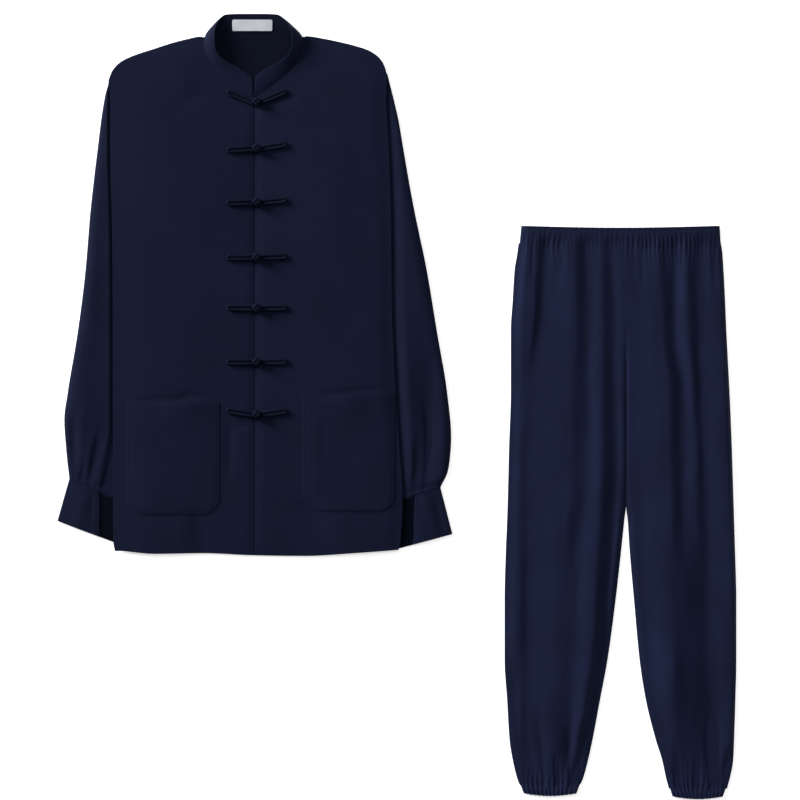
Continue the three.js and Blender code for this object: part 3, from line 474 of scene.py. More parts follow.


# The trousers are of a slightly lighter and smoother lot than the jacket. The cloth's wrong side is duller
# and made darker, as painted shade inside the neck and collar; a cuff's slit facing is darker still, as deeper
# painted shade.
trouserCloth = dict(navyCloth, dark="#121627", light="#161b30", roughness=0.7, specular=0.16)
wrongSideShadedCloth = dict(navyCloth, dark="#0a0c16", light="#0c0f1a", specular=0.08)
slitFacingShadedCloth = dict(navyCloth, dark="#04060b", light="#06080f", specular=0.05)
clothMaterial = wovenCloth("polyesterCottonPlainWoven", navyCloth)
trouserMaterial = wovenCloth("polyesterCottonTrouserLot", trouserCloth)
wrongSideShadedMaterial = wovenCloth("polyesterCottonWrongSidePaintedShade", wrongSideShadedCloth)
slitFacingShadedMaterial = wovenCloth("polyesterCottonSlitFacingPaintedShade", slitFacingShadedCloth)
cordMaterial = biasCord("polyesterCottonBiasRolled", rolledCord)
threadMaterial = sewingThread("polyesterThreadSpun", navyThread)
labelThread = sewingThread("polyesterThreadWhite", whiteThread)
ribbonMaterial = satinRibbon("polyesterSatinWoven", labelRibbon)


# Every piece is part of the one body, and takes the place of the solids that it shows
def dressed(piece, slotName, *nodes):
    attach(piece, "root")
    if nodes:
        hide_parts(*nodes)
    return piece


# The jacket's outlines and surfaces

jacket = {
    "cloth": 1.1, "layer": 1.2, "gap": 0.4, "lift": 2.2,
    "gridStep": 3.4, "hemDepth": 20, "hemThickness": 0.3, "stitchTrough": 0.08,
    "neckMiddle": -2, "backNeckDown": 34, "underCollar": 3.5,
    "neckCorner": 7,  # which point of a top line is the corner of neck and shoulder
    "frontLength": 800, "backLength": 820,
    "centreTurn": {"left": (1.1, 4.5), "right": (0.3, 2)},  # how far down a front's edge turns, and how wide
    "facingWidth": 30, "facingRidge": 0.16,
    "freeEdge": {"left": 60, "right": 26},  # how far in from the side a front reaches its full lift
}
bodySides = {
    "down": [98, 138, 218, 346, 458, 618, 690, 778, 842, 862],
    "left": [235, 231, 231, 228, 227, 227, 226.5, 226, 226, 223],
    "right": [211, 210, 214, 218, 219, 226, 231, 236, 233, 229],
}
topLine = {
    "left": {"aside": [0.2, 15, 30, 46, 60, 72, 79.5, 84.5, 112, 136, 163, 190, 212, 226, 235],
             "down": [133, 126.5, 118, 107, 94, 77, 58, 36.5, 41.5, 48, 57, 66, 76, 89, 108]},
    "right": {"aside": [0.2, 14, 29, 44, 57, 68, 76, 81, 110, 134, 160, 181, 196, 206, 211],
              "down": [133, 126.5, 118, 107, 94, 77, 58, 36, 40, 45, 51.5, 58.5, 68.5, 82, 98]},
}
hemLine = {"across": [-222, -168, -88, 0, 72, 152, 230], "down": [859, 863.5, 862.5, 866, 867, 862, 855.5]}
sleeveSides = {
    "left": {
        "outer": [(-233, 104), (-240, 138), (-245, 170), (-251, 218), (-262, 314), (-270, 410), (-282, 506),
                  (-298, 602), (-304, 650), (-301, 698), (-296.5, 742)],
        "inner": [(-150, 104), (-149, 150), (-149, 185), (-149, 235), (-150, 330), (-154, 425), (-160, 524),
                  (-171, 624), (-180, 680), (-192, 732), (-204, 781)]},
    "right": {
        "outer": [(212, 96), (222, 138), (229, 170), (237, 218), (254, 314), (274, 410), (290, 506),
                  (306, 602), (313, 675), (309, 726), (296.5, 757)],
        "inner": [(135, 100), (134, 150), (133, 185), (134, 235), (138, 330), (146, 425), (158, 522),
                  (173, 622), (188, 696), (204, 748), (216, 779)]},
}
jacketFolds = [
    {"width": 16, "height": -1.5, "path": [(-95, 795), (-78, 866)]},
    {"width": 18, "height": 1.2, "path": [(-120, 800), (-108, 866)]},
    {"width": 17, "height": -1.5, "path": [(70, 775), (112, 850)]},
    {"width": 18, "height": 1.3, "path": [(112, 770), (150, 850)]},
    {"width": 7, "height": -1.2, "path": [(-39, 640), (-39, 690), (-41, 745)]},
    {"width": 7, "height": -1.1, "path": [(-38, 657), (-6, 660)]},
    {"left": 4, "right": 9, "height": -1.8, "path": [(204, 600), (160, 602), (108, 607)]},
    {"left": 3, "right": 7, "height": -1.1, "path": [(-60, 616), (-112, 613), (-206, 618)]},
    {"width": 9, "height": -1.1, "path": [(-92, 614), (-126, 612)]},
    {"width": 26, "height": 1.1, "path": [(-150, 150), (-120, 330)]},
    {"width": 26, "height": 1.1, "path": [(140, 170), (120, 380)]},
    {"width": 14, "height": -1.2, "path": [(-70, 112), (-120, 150)]},
    {"width": 14, "height": -1.2, "path": [(66, 112), (118, 150)]},
]
sideAt = {hand: throughRows(bodySides["down"], bodySides[hand]) for hand in ("left", "right")}
topAt = {hand: throughRows(topLine[hand]["aside"], topLine[hand]["down"]) for hand in ("left", "right")}
hemAt = throughRows(hemLine["across"], hemLine["down"])
sleeveFoldAt = {}
for hand in ("left", "right"):
    asides, downs = zip(*sleeveSides[hand]["inner"])
    sleeveFoldAt[hand] = throughRows(downs, np.abs(asides))


def byHand(lines, across, at):
    return np.where(across < 0, lines["left"](at), lines["right"](at))


# How far the sleeves under the body's edges lift the panels
def backLift(across, down, start, end):
    fold = byHand(sleeveFoldAt, across, down)
    over = smoothstep(np.abs(across), fold + start, fold + end)
    return mix(3.1, 3.9, smoothstep(down, 700, 765)) * over * smoothstep(down, 40, 74)


def frontMiddle(across, down):
    toSide = byHand(sideAt, across, down) - np.abs(across)
    toHem = hemAt(across) - down
    fromNeck = np.hypot((across - jacket["neckMiddle"]) / 88, (down - 78) / 58) - 1
    shoulder = smoothstep(down - 0.22 * np.abs(across), 30, 85)
    atHem = mix(0.6, 1, smoothstep(toHem, 0, 40))
    edge = np.where(across < 0, jacket["freeEdge"]["left"], jacket["freeEdge"]["right"])
    free = smoothstep(toSide, 0, edge) * atHem * smoothstep(fromNeck, 0, 0.5) * shoulder
    centre = mix(0.45, 1, smoothstep(np.abs(across), 0, 14))
    lift = np.maximum(jacket["lift"] + foldHeight(jacketFolds, across, down), 0)
    swell = 0.32 * softNoise(across, down, 85, 11) + 0.12 * softNoise(across, down, 31, 12)
    fine = 0.04 * softNoise(across, down, 11, 13)
    height = backLift(across, down, -160, -30) + jacket["layer"] + jacket["gap"] + jacket["layer"] / 2
    height = height + (lift * centre + swell) * free + fine * smoothstep(toSide, 0, 8)
    # the turned-up hem is a little thicker, and its seam is pulled in
    height = height - jacket["stitchTrough"] * np.exp(-((toHem - jacket["hemDepth"]) / 1.6) ** 2)
    return height


def frontTop(across, down):
    return frontMiddle(across, down) + jacket["cloth"] / 2


print("building the jacket's body")


# A front's points, and how far each lies below its top edge. The neck's edge runs on a
# little way under the collar.
def bodyGrid(hand, asides, shares):
    sign = signOf[hand]
    widest = topLine[hand]["aside"][-1]
    start = topAt[hand](asides)
    start = start - jacket["underCollar"] * (1 - smoothstep(asides, widest * 0.28, widest * 0.35))
    whole = sideAt[hand](start)
    hem = hemAt(sign * whole * asides / widest)
    down = mix(start[None, :], hem[None, :], shares[:, None])
    across = np.where(asides < 1, asides, asides / widest * sideAt[hand](down))
    return sign * across, down, down - start[None, :]


def jacketFront(hand):
    neckCorner = topLine[hand]["aside"][jacket["neckCorner"]]
    widest = topLine[hand]["aside"][-1]
    asides = gridLines([centreGap, neckCorner, widest], jacket["gridStep"])
    length = jacket["frontLength"]
    hemSeam = length - jacket["hemDepth"]
    rows = gridLines([0, 14, hemSeam - 3, hemSeam + 3, length], jacket["gridStep"])
    rows = np.unique(np.concatenate([rows, np.linspace(hemSeam - 3, hemSeam + 3, 9)]))
    across, down, fromTop = bodyGrid(hand, asides, rows / length)
    height = frontMiddle(across, down)
    toSide = sideAt[hand](down) - np.abs(across)
    onShoulder = smoothstep(np.abs(across), neckCorner, neckCorner + 4)
    # the side and shoulder seams turn down over the back panel's edge
    height = height - 0.2 * (1 - quarterRound(toSide, 1))
    height = height - 1.3 * (1 - quarterRound(fromTop, 2.6)) * onShoulder
    turnDown, turnWidth = jacket["centreTurn"][hand]
    height = height - turnDown * (1 - quarterRound(np.abs(across), turnWidth))
    # the pressed edge of the front facing shows as a faint ridge
    ridge = jacket["facingRidge"] * np.exp(-((np.abs(across) - jacket["facingWidth"]) / 2.2) ** 2)
    height = height + ridge * smoothstep(down, 150, 180)
    middle = np.stack([across, -down, height], -1)
    thickness = jacket["cloth"] + jacket["hemThickness"] * smoothstep(
        down - hemAt(across) + jacket["hemDepth"], -1.5, 1)
    piece = clothShell(f"jacketFront{hand.title()}", jacketPlace, middle, thickness, clothMaterial)
    dressed(piece, "navy_cloth", f"jacket_front_{hand}")


def jacketBack():
    halves = []
    shares = gridLines([0, jacket["backLength"]], 8) / jacket["backLength"]
    for hand in ("left", "right"):
        widest = topLine[hand]["aside"][-1]
        neckCorner = topLine[hand]["aside"][jacket["neckCorner"]]
        asides = gridLines([0, neckCorner, widest - 0.9], 7, crowd=(0.15, 0.5, 1.1))
        start = np.where(asides < neckCorner, jacket["backNeckDown"] + 3.5 * (asides / neckCorner) ** 3,
                         topAt[hand](asides) + 0.8)
        sign = signOf[hand]
        hem = hemAt(sign * asides)
        down = mix(start[None, :], hem[None, :], shares[:, None])
        across = sign * asides / widest * sideAt[hand](down)
        halves.append((across, down))
    across = np.concatenate([halves[0][0][:, ::-1], halves[1][0][:, 1:]], 1)
    down = np.concatenate([halves[0][1][:, ::-1], halves[1][1][:, 1:]], 1)
    height = backLift(across, down, -50, -26) + jacket["layer"] / 2
    height = height + 1.2 * (1 - smoothstep(down, 44, 80)) * (1 - smoothstep(np.abs(across), 56, 76))
    middle = np.stack([across, -down, height], -1)
    # the back's inside shows through the neck opening: its wrong side, darkened as painted shade
    atNeck = (np.abs(across) < 90) & (down < 140)
    piece = clothShell("jacketBack", jacketPlace, middle, jacket["cloth"], clothMaterial, shadedWrongOutside=atNeck)
    dressed(piece, "navy_cloth", "jacket_back")


jacketFront("left")
jacketFront("right")
jacketBack()

sleeve = {"length": 690, "cloth": 1.1, "hiddenHeight": 2.7, "puff": 4.4, "seamPuff": 2.5, "gridStep": 2.4,
          "tuck": 5, "edgeRound": 16, "foldInset": 1.4,
          # over what width the cloth slopes down to the body's edge, by the cuff and above
          "innerSlope": {"left": 26, "right": 20}, "upperSlope": {"left": 5.5, "right": 23},
          "hiddenColumns": 9, "shownColumns": 44, "belowColumns": 16}
# the gathers above a cuff, the soft swells of each sleeve, and a few broad rolls
sleeveFolds = [
    {"left": 4, "right": 13, "height": -2.4, "path": [(-251, 672), (-258, 706), (-267, 752)]},
    {"left": 4, "right": 17, "height": -3.8, "path": [(-227, 694), (-232, 720), (-241, 752), (-246, 774)]},
    {"left": 4, "right": 7, "height": -1.5, "path": [(-272, 712), (-277, 748)]},
    {"left": 20, "right": 15, "height": 1, "path": [(-264, 600), (-266, 690), (-272, 750)]},
    {"left": 7, "right": 9, "height": -2.4, "path": [(-290, 640), (-288, 735)]},
    {"left": 18, "right": 10, "height": 1.2, "path": [(-274, 560), (-276, 640), (-280, 700)]},
    {"left": 14, "right": 12, "height": 0.9, "path": [(-256, 320), (-266, 560)]},
    {"left": 24, "right": 18, "height": -3, "path": [(279, 540), (281, 670), (274, 762)]},
    {"left": 4, "right": 11, "height": -2, "path": [(272, 620), (276, 690), (270, 764)]},
    {"left": 4, "right": 11, "height": -2.2, "path": [(257, 680), (257, 730), (252, 770)]},
    {"left": 24, "right": 20, "height": 1.6, "path": [(240, 480), (243, 600), (243, 735)]},
    {"left": 14, "right": 9, "height": 1.6, "path": [(300, 540), (304, 650), (297, 740)]},
    {"left": 14, "right": 10, "height": 0.9, "path": [(246, 300), (266, 480)]},
]


def sleeveTube(hand):
    rows = sleeveSides[hand]
    places = np.linspace(0, 1, len(rows["outer"]))
    length = sleeve["length"]
    t = gridLines([0, length - 30, length + sleeve["tuck"]], sleeve["gridStep"]) / length
    beyond = np.clip(t - 1, 0, 1)[:, None] * length  # the part tucked into the cuff
    outer, inner = (throughRows(places, rows[key])(t) + beyond * [0, 1] for key in ("outer", "inner"))
    width = np.linalg.norm(outer - inner, axis=1)[:, None]
    edge = sideAt[hand](outer[:, 1] + 12)[:, None] + 1
    covered = width * (edge - np.abs(inner[:, :1])) / np.abs(outer[:, :1] - inner[:, :1])
    hiddenShares = np.linspace(0.02, 1, sleeve["hiddenColumns"])[None, :]
    shownShares = np.linspace(0, 1, sleeve["shownColumns"])[None, 1:]
    flatWidth = width - sleeve["foldInset"]
    runTop = np.concatenate([covered * hiddenShares, mix(covered, flatWidth, shownShares)], 1)
    runBelow = flatWidth * np.linspace(1, 0.02, sleeve["belowColumns"])[None, :]

    def spot(run):
        share = run / width
        return (mix(inner[:, :1], outer[:, :1], share), mix(inner[:, 1:], outer[:, 1:], share))

    across, down = spot(runTop)
    fromBody = np.abs(across) - sideAt[hand](np.minimum(down, 860))
    tuck = sleeve["tuck"]
    toCuff = (1 - t[:, None]) * length + tuck
    # by the cuff the cloth slopes down under the body's edge
    innerSlope = mix(sleeve["upperSlope"][hand], sleeve["innerSlope"][hand], smoothstep(down, 660, 745))
    visible = (smoothstep(fromBody, 0.6, innerSlope) * quarterRound(width - runTop, sleeve["edgeRound"])
               * mix(0.1, 1, smoothstep(toCuff, tuck - 3.6, tuck - 1)))
    gathers = 0.55 * np.sin((across + 0.4 * down) / 2 + 2 * softNoise(across, down, 14, 31))
    gathers = gathers * np.exp(-toCuff / 22)
    gathers = gathers * (0.6 + 0.6 * softNoise(across, down / 4, 16, 34))
    swell = 0.3 * softNoise(across, down, 40, 32) + 0.08 * softNoise(across, down, 13, 33)
    puff = mix(sleeve["seamPuff"], sleeve["puff"], smoothstep(toCuff, tuck, tuck + 40))
    folds = foldHeight(sleeveFolds, across, down) * smoothstep(toCuff, tuck, tuck + 14)
    puff = puff + folds + gathers + swell
    top = sleeve["hiddenHeight"] + np.maximum(puff, 0.2) * visible - sleeve["cloth"] / 2
    half = sleeve["cloth"] / 2
    low = np.full(runBelow.shape, half)
    acrossBelow, downBelow = spot(runBelow)
    # the two folds are half-rounds between the layers
    turns = np.array([0.3, 0.5, 0.7]) * math.pi

    def turning(run, upper, outward):
        reach = (upper - half) / 2
        runs = run + outward * reach * np.sin(turns)[None, :]
        return spot(runs), half + reach + reach * np.cos(turns)[None, :] * outward

    (aOut, dOut), zOut = turning(runTop[:, -1:], top[:, -1:], 1)
    (aIn, dIn), zIn = turning(runTop[:, :1], top[:, :1], -1)
    middle = np.stack([
        np.concatenate([across, aOut, acrossBelow, aIn], 1),
        -np.concatenate([down, dOut, downBelow, dIn], 1),
        np.concatenate([top, zOut, low, zIn], 1)], -1)
    piece = clothShell(f"sleeve{hand.title()}", jacketPlace, middle, sleeve["cloth"], clothMaterial, True)
    dressed(piece, "navy_cloth", f"sleeve_{hand}")


print("building the sleeves and cuffs")
sleeveTube("left")
sleeveTube("right")

cuff = {"depth": 72, "cloth": 1.4, "low": 0.75, "hidden": 22, "gridStep": 2, "stitchIn": 5,
        "slit": {"left": 23, "right": 20}, "columns": 110,
        "topShare": 0.36, "underlapShare": 0.8}  # of the way round, where its top ends and underlap starts
cuffSides = {
    "left": {"seam": ((-297, 743.6), (-227, 772.5)), "edge": ((-316, 811), (-226, 845))},
    "right": {"seam": ((297, 758.4), (236.5, 775)), "edge": ((316, 832), (233, 854.5))},
}
cuffFolds = [  # the rolls and troughs that run down each cuff from its gathers
    {"width": 9, "height": 1.1, "path": [(-270, 762), (-284, 822)]},
    {"width": 8, "height": -0.8, "path": [(-255, 765), (-262, 830)]},
    {"width": 9, "height": 1.1, "path": [(272, 768), (290, 838)]},
    {"width": 8, "height": -0.8, "path": [(285, 762), (303, 832)]},
]


stitchLines = []  # of the jacket, filled piece by piece


# A cuff is one band: from its slit over the top to the outer edge, back underneath, and
# with its end turned up as the underlap that shows in the slit
def cuffBand(hand):
    seam, edge = (np.array(cuffSides[hand][key], float) for key in ("seam", "edge"))
    height = cuff["depth"]
    t = gridLines([0, height], cuff["gridStep"]) / height
    outer = mix(seam[0], edge[0], t[:, None])
    body = mix(seam[1], edge[1], t[:, None])
    width = np.linalg.norm(outer - body, axis=1)[:, None]
    low, end = cuff["low"], -cuff["hidden"]
    slit = cuff["slit"][hand]
    count = cuff["columns"]
    every = []
    for w, uneven in zip(width[:, 0], 1.5 * softNoise(t * height, 0 * t, 19, 43)):
        section = [  # how far from the body's edge, and how high
            (slit + uneven, 3.5), (slit + 5 + uneven, 4), (slit + 12, 4.8), (w * 0.56, 5.2), (w * 0.74, 4.8),
            (w - 9, 4), (w - 1.6, 3), (w - low, 1.9), (w - 1.8, low), (w * 0.6, low), (w * 0.2, low),
            (4 + end, low), (low + end, 1.65), (4 + end, 2.65), (-8, 2.4), (2, 2.1), (slit - 2, 2),
            (slit + 12, 2.3)]
        steps = np.linspace(0, 1, len(section))
        every.append(throughRows(steps, section)(np.linspace(0, 1, count)))
    every = np.array(every)
    run, up = every[..., 0], every[..., 1]
    levelled = np.where(run < 0, run * (1 - t[:, None]), run)
    across = mix(body[:, :1], outer[:, :1], run / width)
    down = mix(body[:, 1:], outer[:, 1:], levelled / width)
    topColumns = np.arange(count) < count * cuff["topShare"]
    onTop = topColumns * smoothstep(run, slit + 6, slit + 14) * smoothstep(width - run, 4, 14)
    folds = foldHeight(cuffFolds, across, down) + 0.3 * softNoise(across, down, 24, 41)
    edgeSeam = -0.25 * (np.exp(-((t * height - 4) / 1.2) ** 2) + np.exp(-(((1 - t) * height - 5) / 1.2) ** 2))
    up = up + onTop * (folds + edgeSeam[:, None])
    middle = np.stack([across, -down, up], -1)
    # the underlap shows in the slit in the darkest cloth: painted shade inside the cuff's opening
    underlap = (np.arange(count)[None, :] > count * cuff["underlapShare"]) & (run > -12)
    piece = clothShell(f"cuff{hand.title()}", jacketPlace, middle, cuff["cloth"], clothMaterial,
                       shadedWrongOutside=underlap, shadedWrongInside=underlap, shadedWrongMaterial=slitFacingShadedMaterial)
    edgeRow = int(np.argmin(np.abs((1 - t) * height - cuff["stitchIn"])))
    shown = np.flatnonzero(topColumns & (run[edgeRow] < width[edgeRow] - 2.5))[1:]
    stitchLines.append(middle[edgeRow, shown] + [0, 0, cuff["cloth"] / 2])
    dressed(piece, "navy_cloth", f"cuff_{hand}")


cuffBand("left")
cuffBand("right")

print("building the collar and its label")
collar = {"length": 470, "height": 34, "cloth": 2.0, "gridStep": 1.6, "backShift": 3.5, "seamLap": 0.04}
# each point's distance from the collar's centre, down and up, from the front to the back
collarRows = {
    "seam": [(0.9, 131.3, 3.2), (14, 125, 3.2), (28.5, 116.5, 3.2), (44, 105.5, 3.2), (57.5, 93, 3.2),
             (69.5, 77, 3.2), (77, 62, 3.2), (80, 48, 3.2), (78, 40.5, 2.8), (72, 39.2, 2.4), (62, 39, 2.1),
             (47, 38.8, 2), (24, 38.6, 2), (0, 38.6, 2)],
    "roll": [(1.5, 116, 5.2), (11, 110, 6), (25, 102, 6.6), (40, 92, 7.6), (54, 82, 9.4), (67, 70, 11.5),
             (75, 57, 13), (78, 43, 14), (76.5, 30, 11.5), (70, 22, 8), (61, 17.5, 4.6), (46.5, 17, 2.8),
             (24, 17, 2.3), (0, 17, 2.3)],
    "edge": [(1.8, 102, 6.2), (9, 96, 7.2), (22, 88, 8.6), (37, 80, 11), (49, 72.5, 13.5), (57, 64, 16),
             (60.5, 54, 18), (61, 42, 19), (60, 29, 17.5), (55, 16, 13), (49, 7, 7.6), (40.5, 1.2, 3.2),
             (21, 0, 1.8), (0, 0, 1.8)],
}
collarLines = {key: throughRows(np.linspace(0, 1, len(rows)), rows) for key, rows in collarRows.items()}


def collarMiddle(s, t):
    along = 1 - np.abs(1 - 2 * s)
    side = np.where(s < 0.5, -1, 1)
    seam, roll, edge = (collarLines[key](along) for key in ("seam", "roll", "edge"))
    t = t[..., None]
    blend = (1 - t) ** 2 * seam + 2 * t * (1 - t) * roll + t * t * edge
    down = blend[..., 1]
    centre = jacket["neckMiddle"] - collar["backShift"] * np.clip((38 - down) / 38, 0, 1)
    return np.stack([centre + side * blend[..., 0], -down, blend[..., 2]], -1)


def collarBand():
    length, height = collar["length"], collar["height"]
    s = gridLines([0, length / 2, length], collar["gridStep"] * 1.4) / length
    t = gridLines([-collar["seamLap"] * height, height], collar["gridStep"]) / height
    sGrid, tGrid = np.meshgrid(s, t)
    middle = collarMiddle(sGrid, tGrid)
    wave = 0.35 * softNoise(sGrid * length, tGrid * height, 38, 51) * smoothstep(tGrid, 0.1, 0.5)
    middle[..., 2] += wave
    # thinner along the top stitching, towards the neck seam and at the rim
    seamPull = 0.2 * np.exp(-(((1 - tGrid) * height - 4) / 1.1) ** 2)
    seamPull = seamPull + 0.9 * (1 - smoothstep(tGrid, -0.04, 0.3))
    seamPull = seamPull + 0.7 * smoothstep(tGrid, 0.84, 1)
    # the collar's whole inside shows the wrong side, darkened as painted shade
    everywhere = np.ones(tGrid.shape, bool)
    piece = clothShell("collarBand", jacketPlace, middle, collar["cloth"] - seamPull, clothMaterial,
                       shadedWrongInside=everywhere)
    dressed(piece, "navy_cloth", "collar")


label = {"left": -36, "right": 28, "top": 9.6, "bottom": 28, "cloth": 0.7, "corner": 2.4, "stitchIn": 2.2}


def labelSeat(down):  # how high the collar's back stands under the label
    return mix(2.15, 2.55, smoothstep(down, 6, 32)) + collar["cloth"] / 2


def neckLabel():
    across = gridLines([label["left"], label["right"]], 1.2)
    down = gridLines([label["top"], label["bottom"]], 1.0)
    acrossGrid, downGrid = np.meshgrid(across, down)
    toLong = np.minimum(downGrid - label["top"], label["bottom"] - downGrid)
    inset = label["corner"] * (1 - quarterRound(toLong, label["corner"]))
    middleAcross = (label["left"] + label["right"]) / 2
    halfLength = (label["right"] - label["left"]) / 2
    acrossGrid = middleAcross + (acrossGrid - middleAcross) * (halfLength - inset) / halfLength
    toEnd = np.minimum(acrossGrid - label["left"], label["right"] - acrossGrid)
    height = labelSeat(downGrid) + 0.75
    height = height + 0.18 * softNoise(acrossGrid, downGrid, 15, 61) * smoothstep(toEnd, 1, 8)
    height = height - 0.2 * np.exp(-((toEnd - label["stitchIn"]) / 0.8) ** 2)
    middle = np.stack([acrossGrid, -downGrid, height], -1)
    piece = clothShell("neckRibbonLabel", jacketPlace, middle, label["cloth"], ribbonMaterial)
    dressed(piece, "white_ribbon", "neck_label")
    downs = np.linspace(label["top"] + 1, label["bottom"] - 1, 12)
    ends = [np.array([[x, -y, labelSeat(y) + 0.95] for y in downs])
            for x in (label["left"] + label["stitchIn"], label["right"] - label["stitchIn"])]
    dressed(stitchRuns("labelStitches", jacketPlace, ends, labelThread), "white_ribbon")


collarBand()
neckLabel()

print("building the pockets and frogs")
pockets = [
    {"hand": "left", "inner": -56, "outer": -205, "top": 621, "bottom": 801, "tilt": 0, "lipAcross": -112},
    {"hand": "right", "inner": 76, "outer": 224, "top": 611, "bottom": 796, "tilt": -5, "lipAcross": 150},
]
pocketCut = {"cornerRadius": 28, "cloth": 1.3, "seat": 0.35, "lip": 3.4, "lipWidth": 34, "seamIn": 2.6,
             "edgeDrop": 0.64, "edgeThinner": 0.5, "gridStep": 2.6}
pocketFolds = [
    {"width": 15, "height": -1.2, "path": [(-156, 668), (-134, 690), (-108, 726)]},
    {"width": 26, "height": -1.6, "path": [(116, 622), (128, 690), (166, 788)]},
    {"width": 15, "height": 0.9, "path": [(90, 640), (98, 762)]},
]


def pocketPatch(row):
    radius = pocketCut["cornerRadius"]
    cornerTop = row["bottom"] - radius
    below = gridLines([row["top"], row["top"] + 40, cornerTop, row["bottom"]], pocketCut["gridStep"])
    intoCorner = np.clip(below - cornerTop, 0, radius)
    inset = radius - np.sqrt(np.maximum(radius ** 2 - intoCorner ** 2, 0))
    sign = np.sign(row["outer"] - row["inner"])
    width = abs(row["outer"] - row["inner"])
    s = gridLines([0, width], pocketCut["gridStep"]) / width
    low, high = row["inner"] + sign * inset[:, None], row["outer"] - sign * inset[:, None]
    across = mix(low, high, s[None, :])
    share = ((below - row["top"]) / (row["bottom"] - row["top"]))[:, None]
    down = below[:, None] + row["tilt"] * s[None, :] * (1 - share)
    toSide = np.minimum(np.abs(across - low), np.abs(high - across))
    toEdge = np.minimum(toSide, (row["bottom"] - below)[:, None])

    def lipHeight(across, share):  # the pocket's mouth stands up a little in its middle
        lip = pocketCut["lip"] * np.exp(-((across - row["lipAcross"]) / pocketCut["lipWidth"]) ** 2)
        return lip * (1 - smoothstep(share, 0, 0.35))

    height = frontTop(across, down) + pocketCut["seat"] + pocketCut["cloth"] / 2 + lipHeight(across, share)
    height = height - 0.12 * np.exp(-((toEdge - pocketCut["seamIn"]) / 0.9) ** 2)
    folds = np.maximum(foldHeight(pocketFolds, across, down) + 0.4, -0.3)
    height = height + folds * smoothstep(toEdge, 3, 26)
    height = height + 0.25 * softNoise(across, down, 30, 71) * smoothstep(toEdge, 3, 20)
    height = height - pocketCut["edgeDrop"] * (1 - smoothstep(toEdge, 0, 9))
    thickness = pocketCut["cloth"] - pocketCut["edgeThinner"] * (1 - smoothstep(toEdge, 0, 3.5))
    middle = np.stack([across, -down, height], -1)
    piece = clothShell(f"pocket{row['hand'].title()}", jacketPlace, middle, thickness, clothMaterial)
    dressed(piece, "navy_cloth", f"pocket_{row['hand']}")

    # the stitching runs down one side, round the corners and up the other side
    seam = pocketCut["seamIn"]
    a, b = row["inner"] + sign * seam, row["outer"] - sign * seam
    bottom, r = row["bottom"] - seam, radius - seam
    turn = np.linspace(0, math.pi / 2, 14)
    x = np.concatenate([
        np.full(60, a), a + sign * r * (1 - np.cos(turn)), np.linspace(a + sign * r, b - sign * r, 40),
        b - sign * r * (1 - np.sin(turn)), np.full(60, b)])
    y = np.concatenate([
        np.linspace(row["top"] + 2, bottom - r, 60), bottom - r * (1 - np.sin(turn)), np.full(40, bottom),
        bottom - r * (1 - np.cos(turn)), np.linspace(bottom - r, row["top"] + row["tilt"] + 2, 60)])
    z = frontTop(x, y) + pocketCut["seat"] + pocketCut["cloth"] - 0.1
    z = z + lipHeight(x, (y - row["top"]) / (row["bottom"] - row["top"]))
    stitchLines.append(np.stack([x, -y, z], -1))


for row in pockets:
    pocketPatch(row)

# The last lines of stitches on the jacket are those of its hem
for start, end in ((-218, -4), (4, 222)):
    x = np.linspace(start, end, 120)
    y = hemAt(x) - jacket["hemDepth"]
    stitchLines.append(np.stack([x, -y, frontTop(x, y) + 0.02], -1))
dressed(stitchRuns("jacketStitches", jacketPlace, stitchLines, threadMaterial), "navy_cloth")

frog = {"cordRadius": 2.75, "sides": 14, "eyeRadius": 4.9, "knotAcross": 3, "knotRadius": 5.2,
        "knotCord": 1.85, "reachLeft": -46, "reachRight": 52, "pathStep": 0.9}
# how far down each frog's knot, left end and right end are
frogRows = [(142, 125, 124), (216, 219, 209), (302, 303, 298), (390, 390, 388), (471, 470, 470),
            (557, 557, 556), (641, 634, 635)]


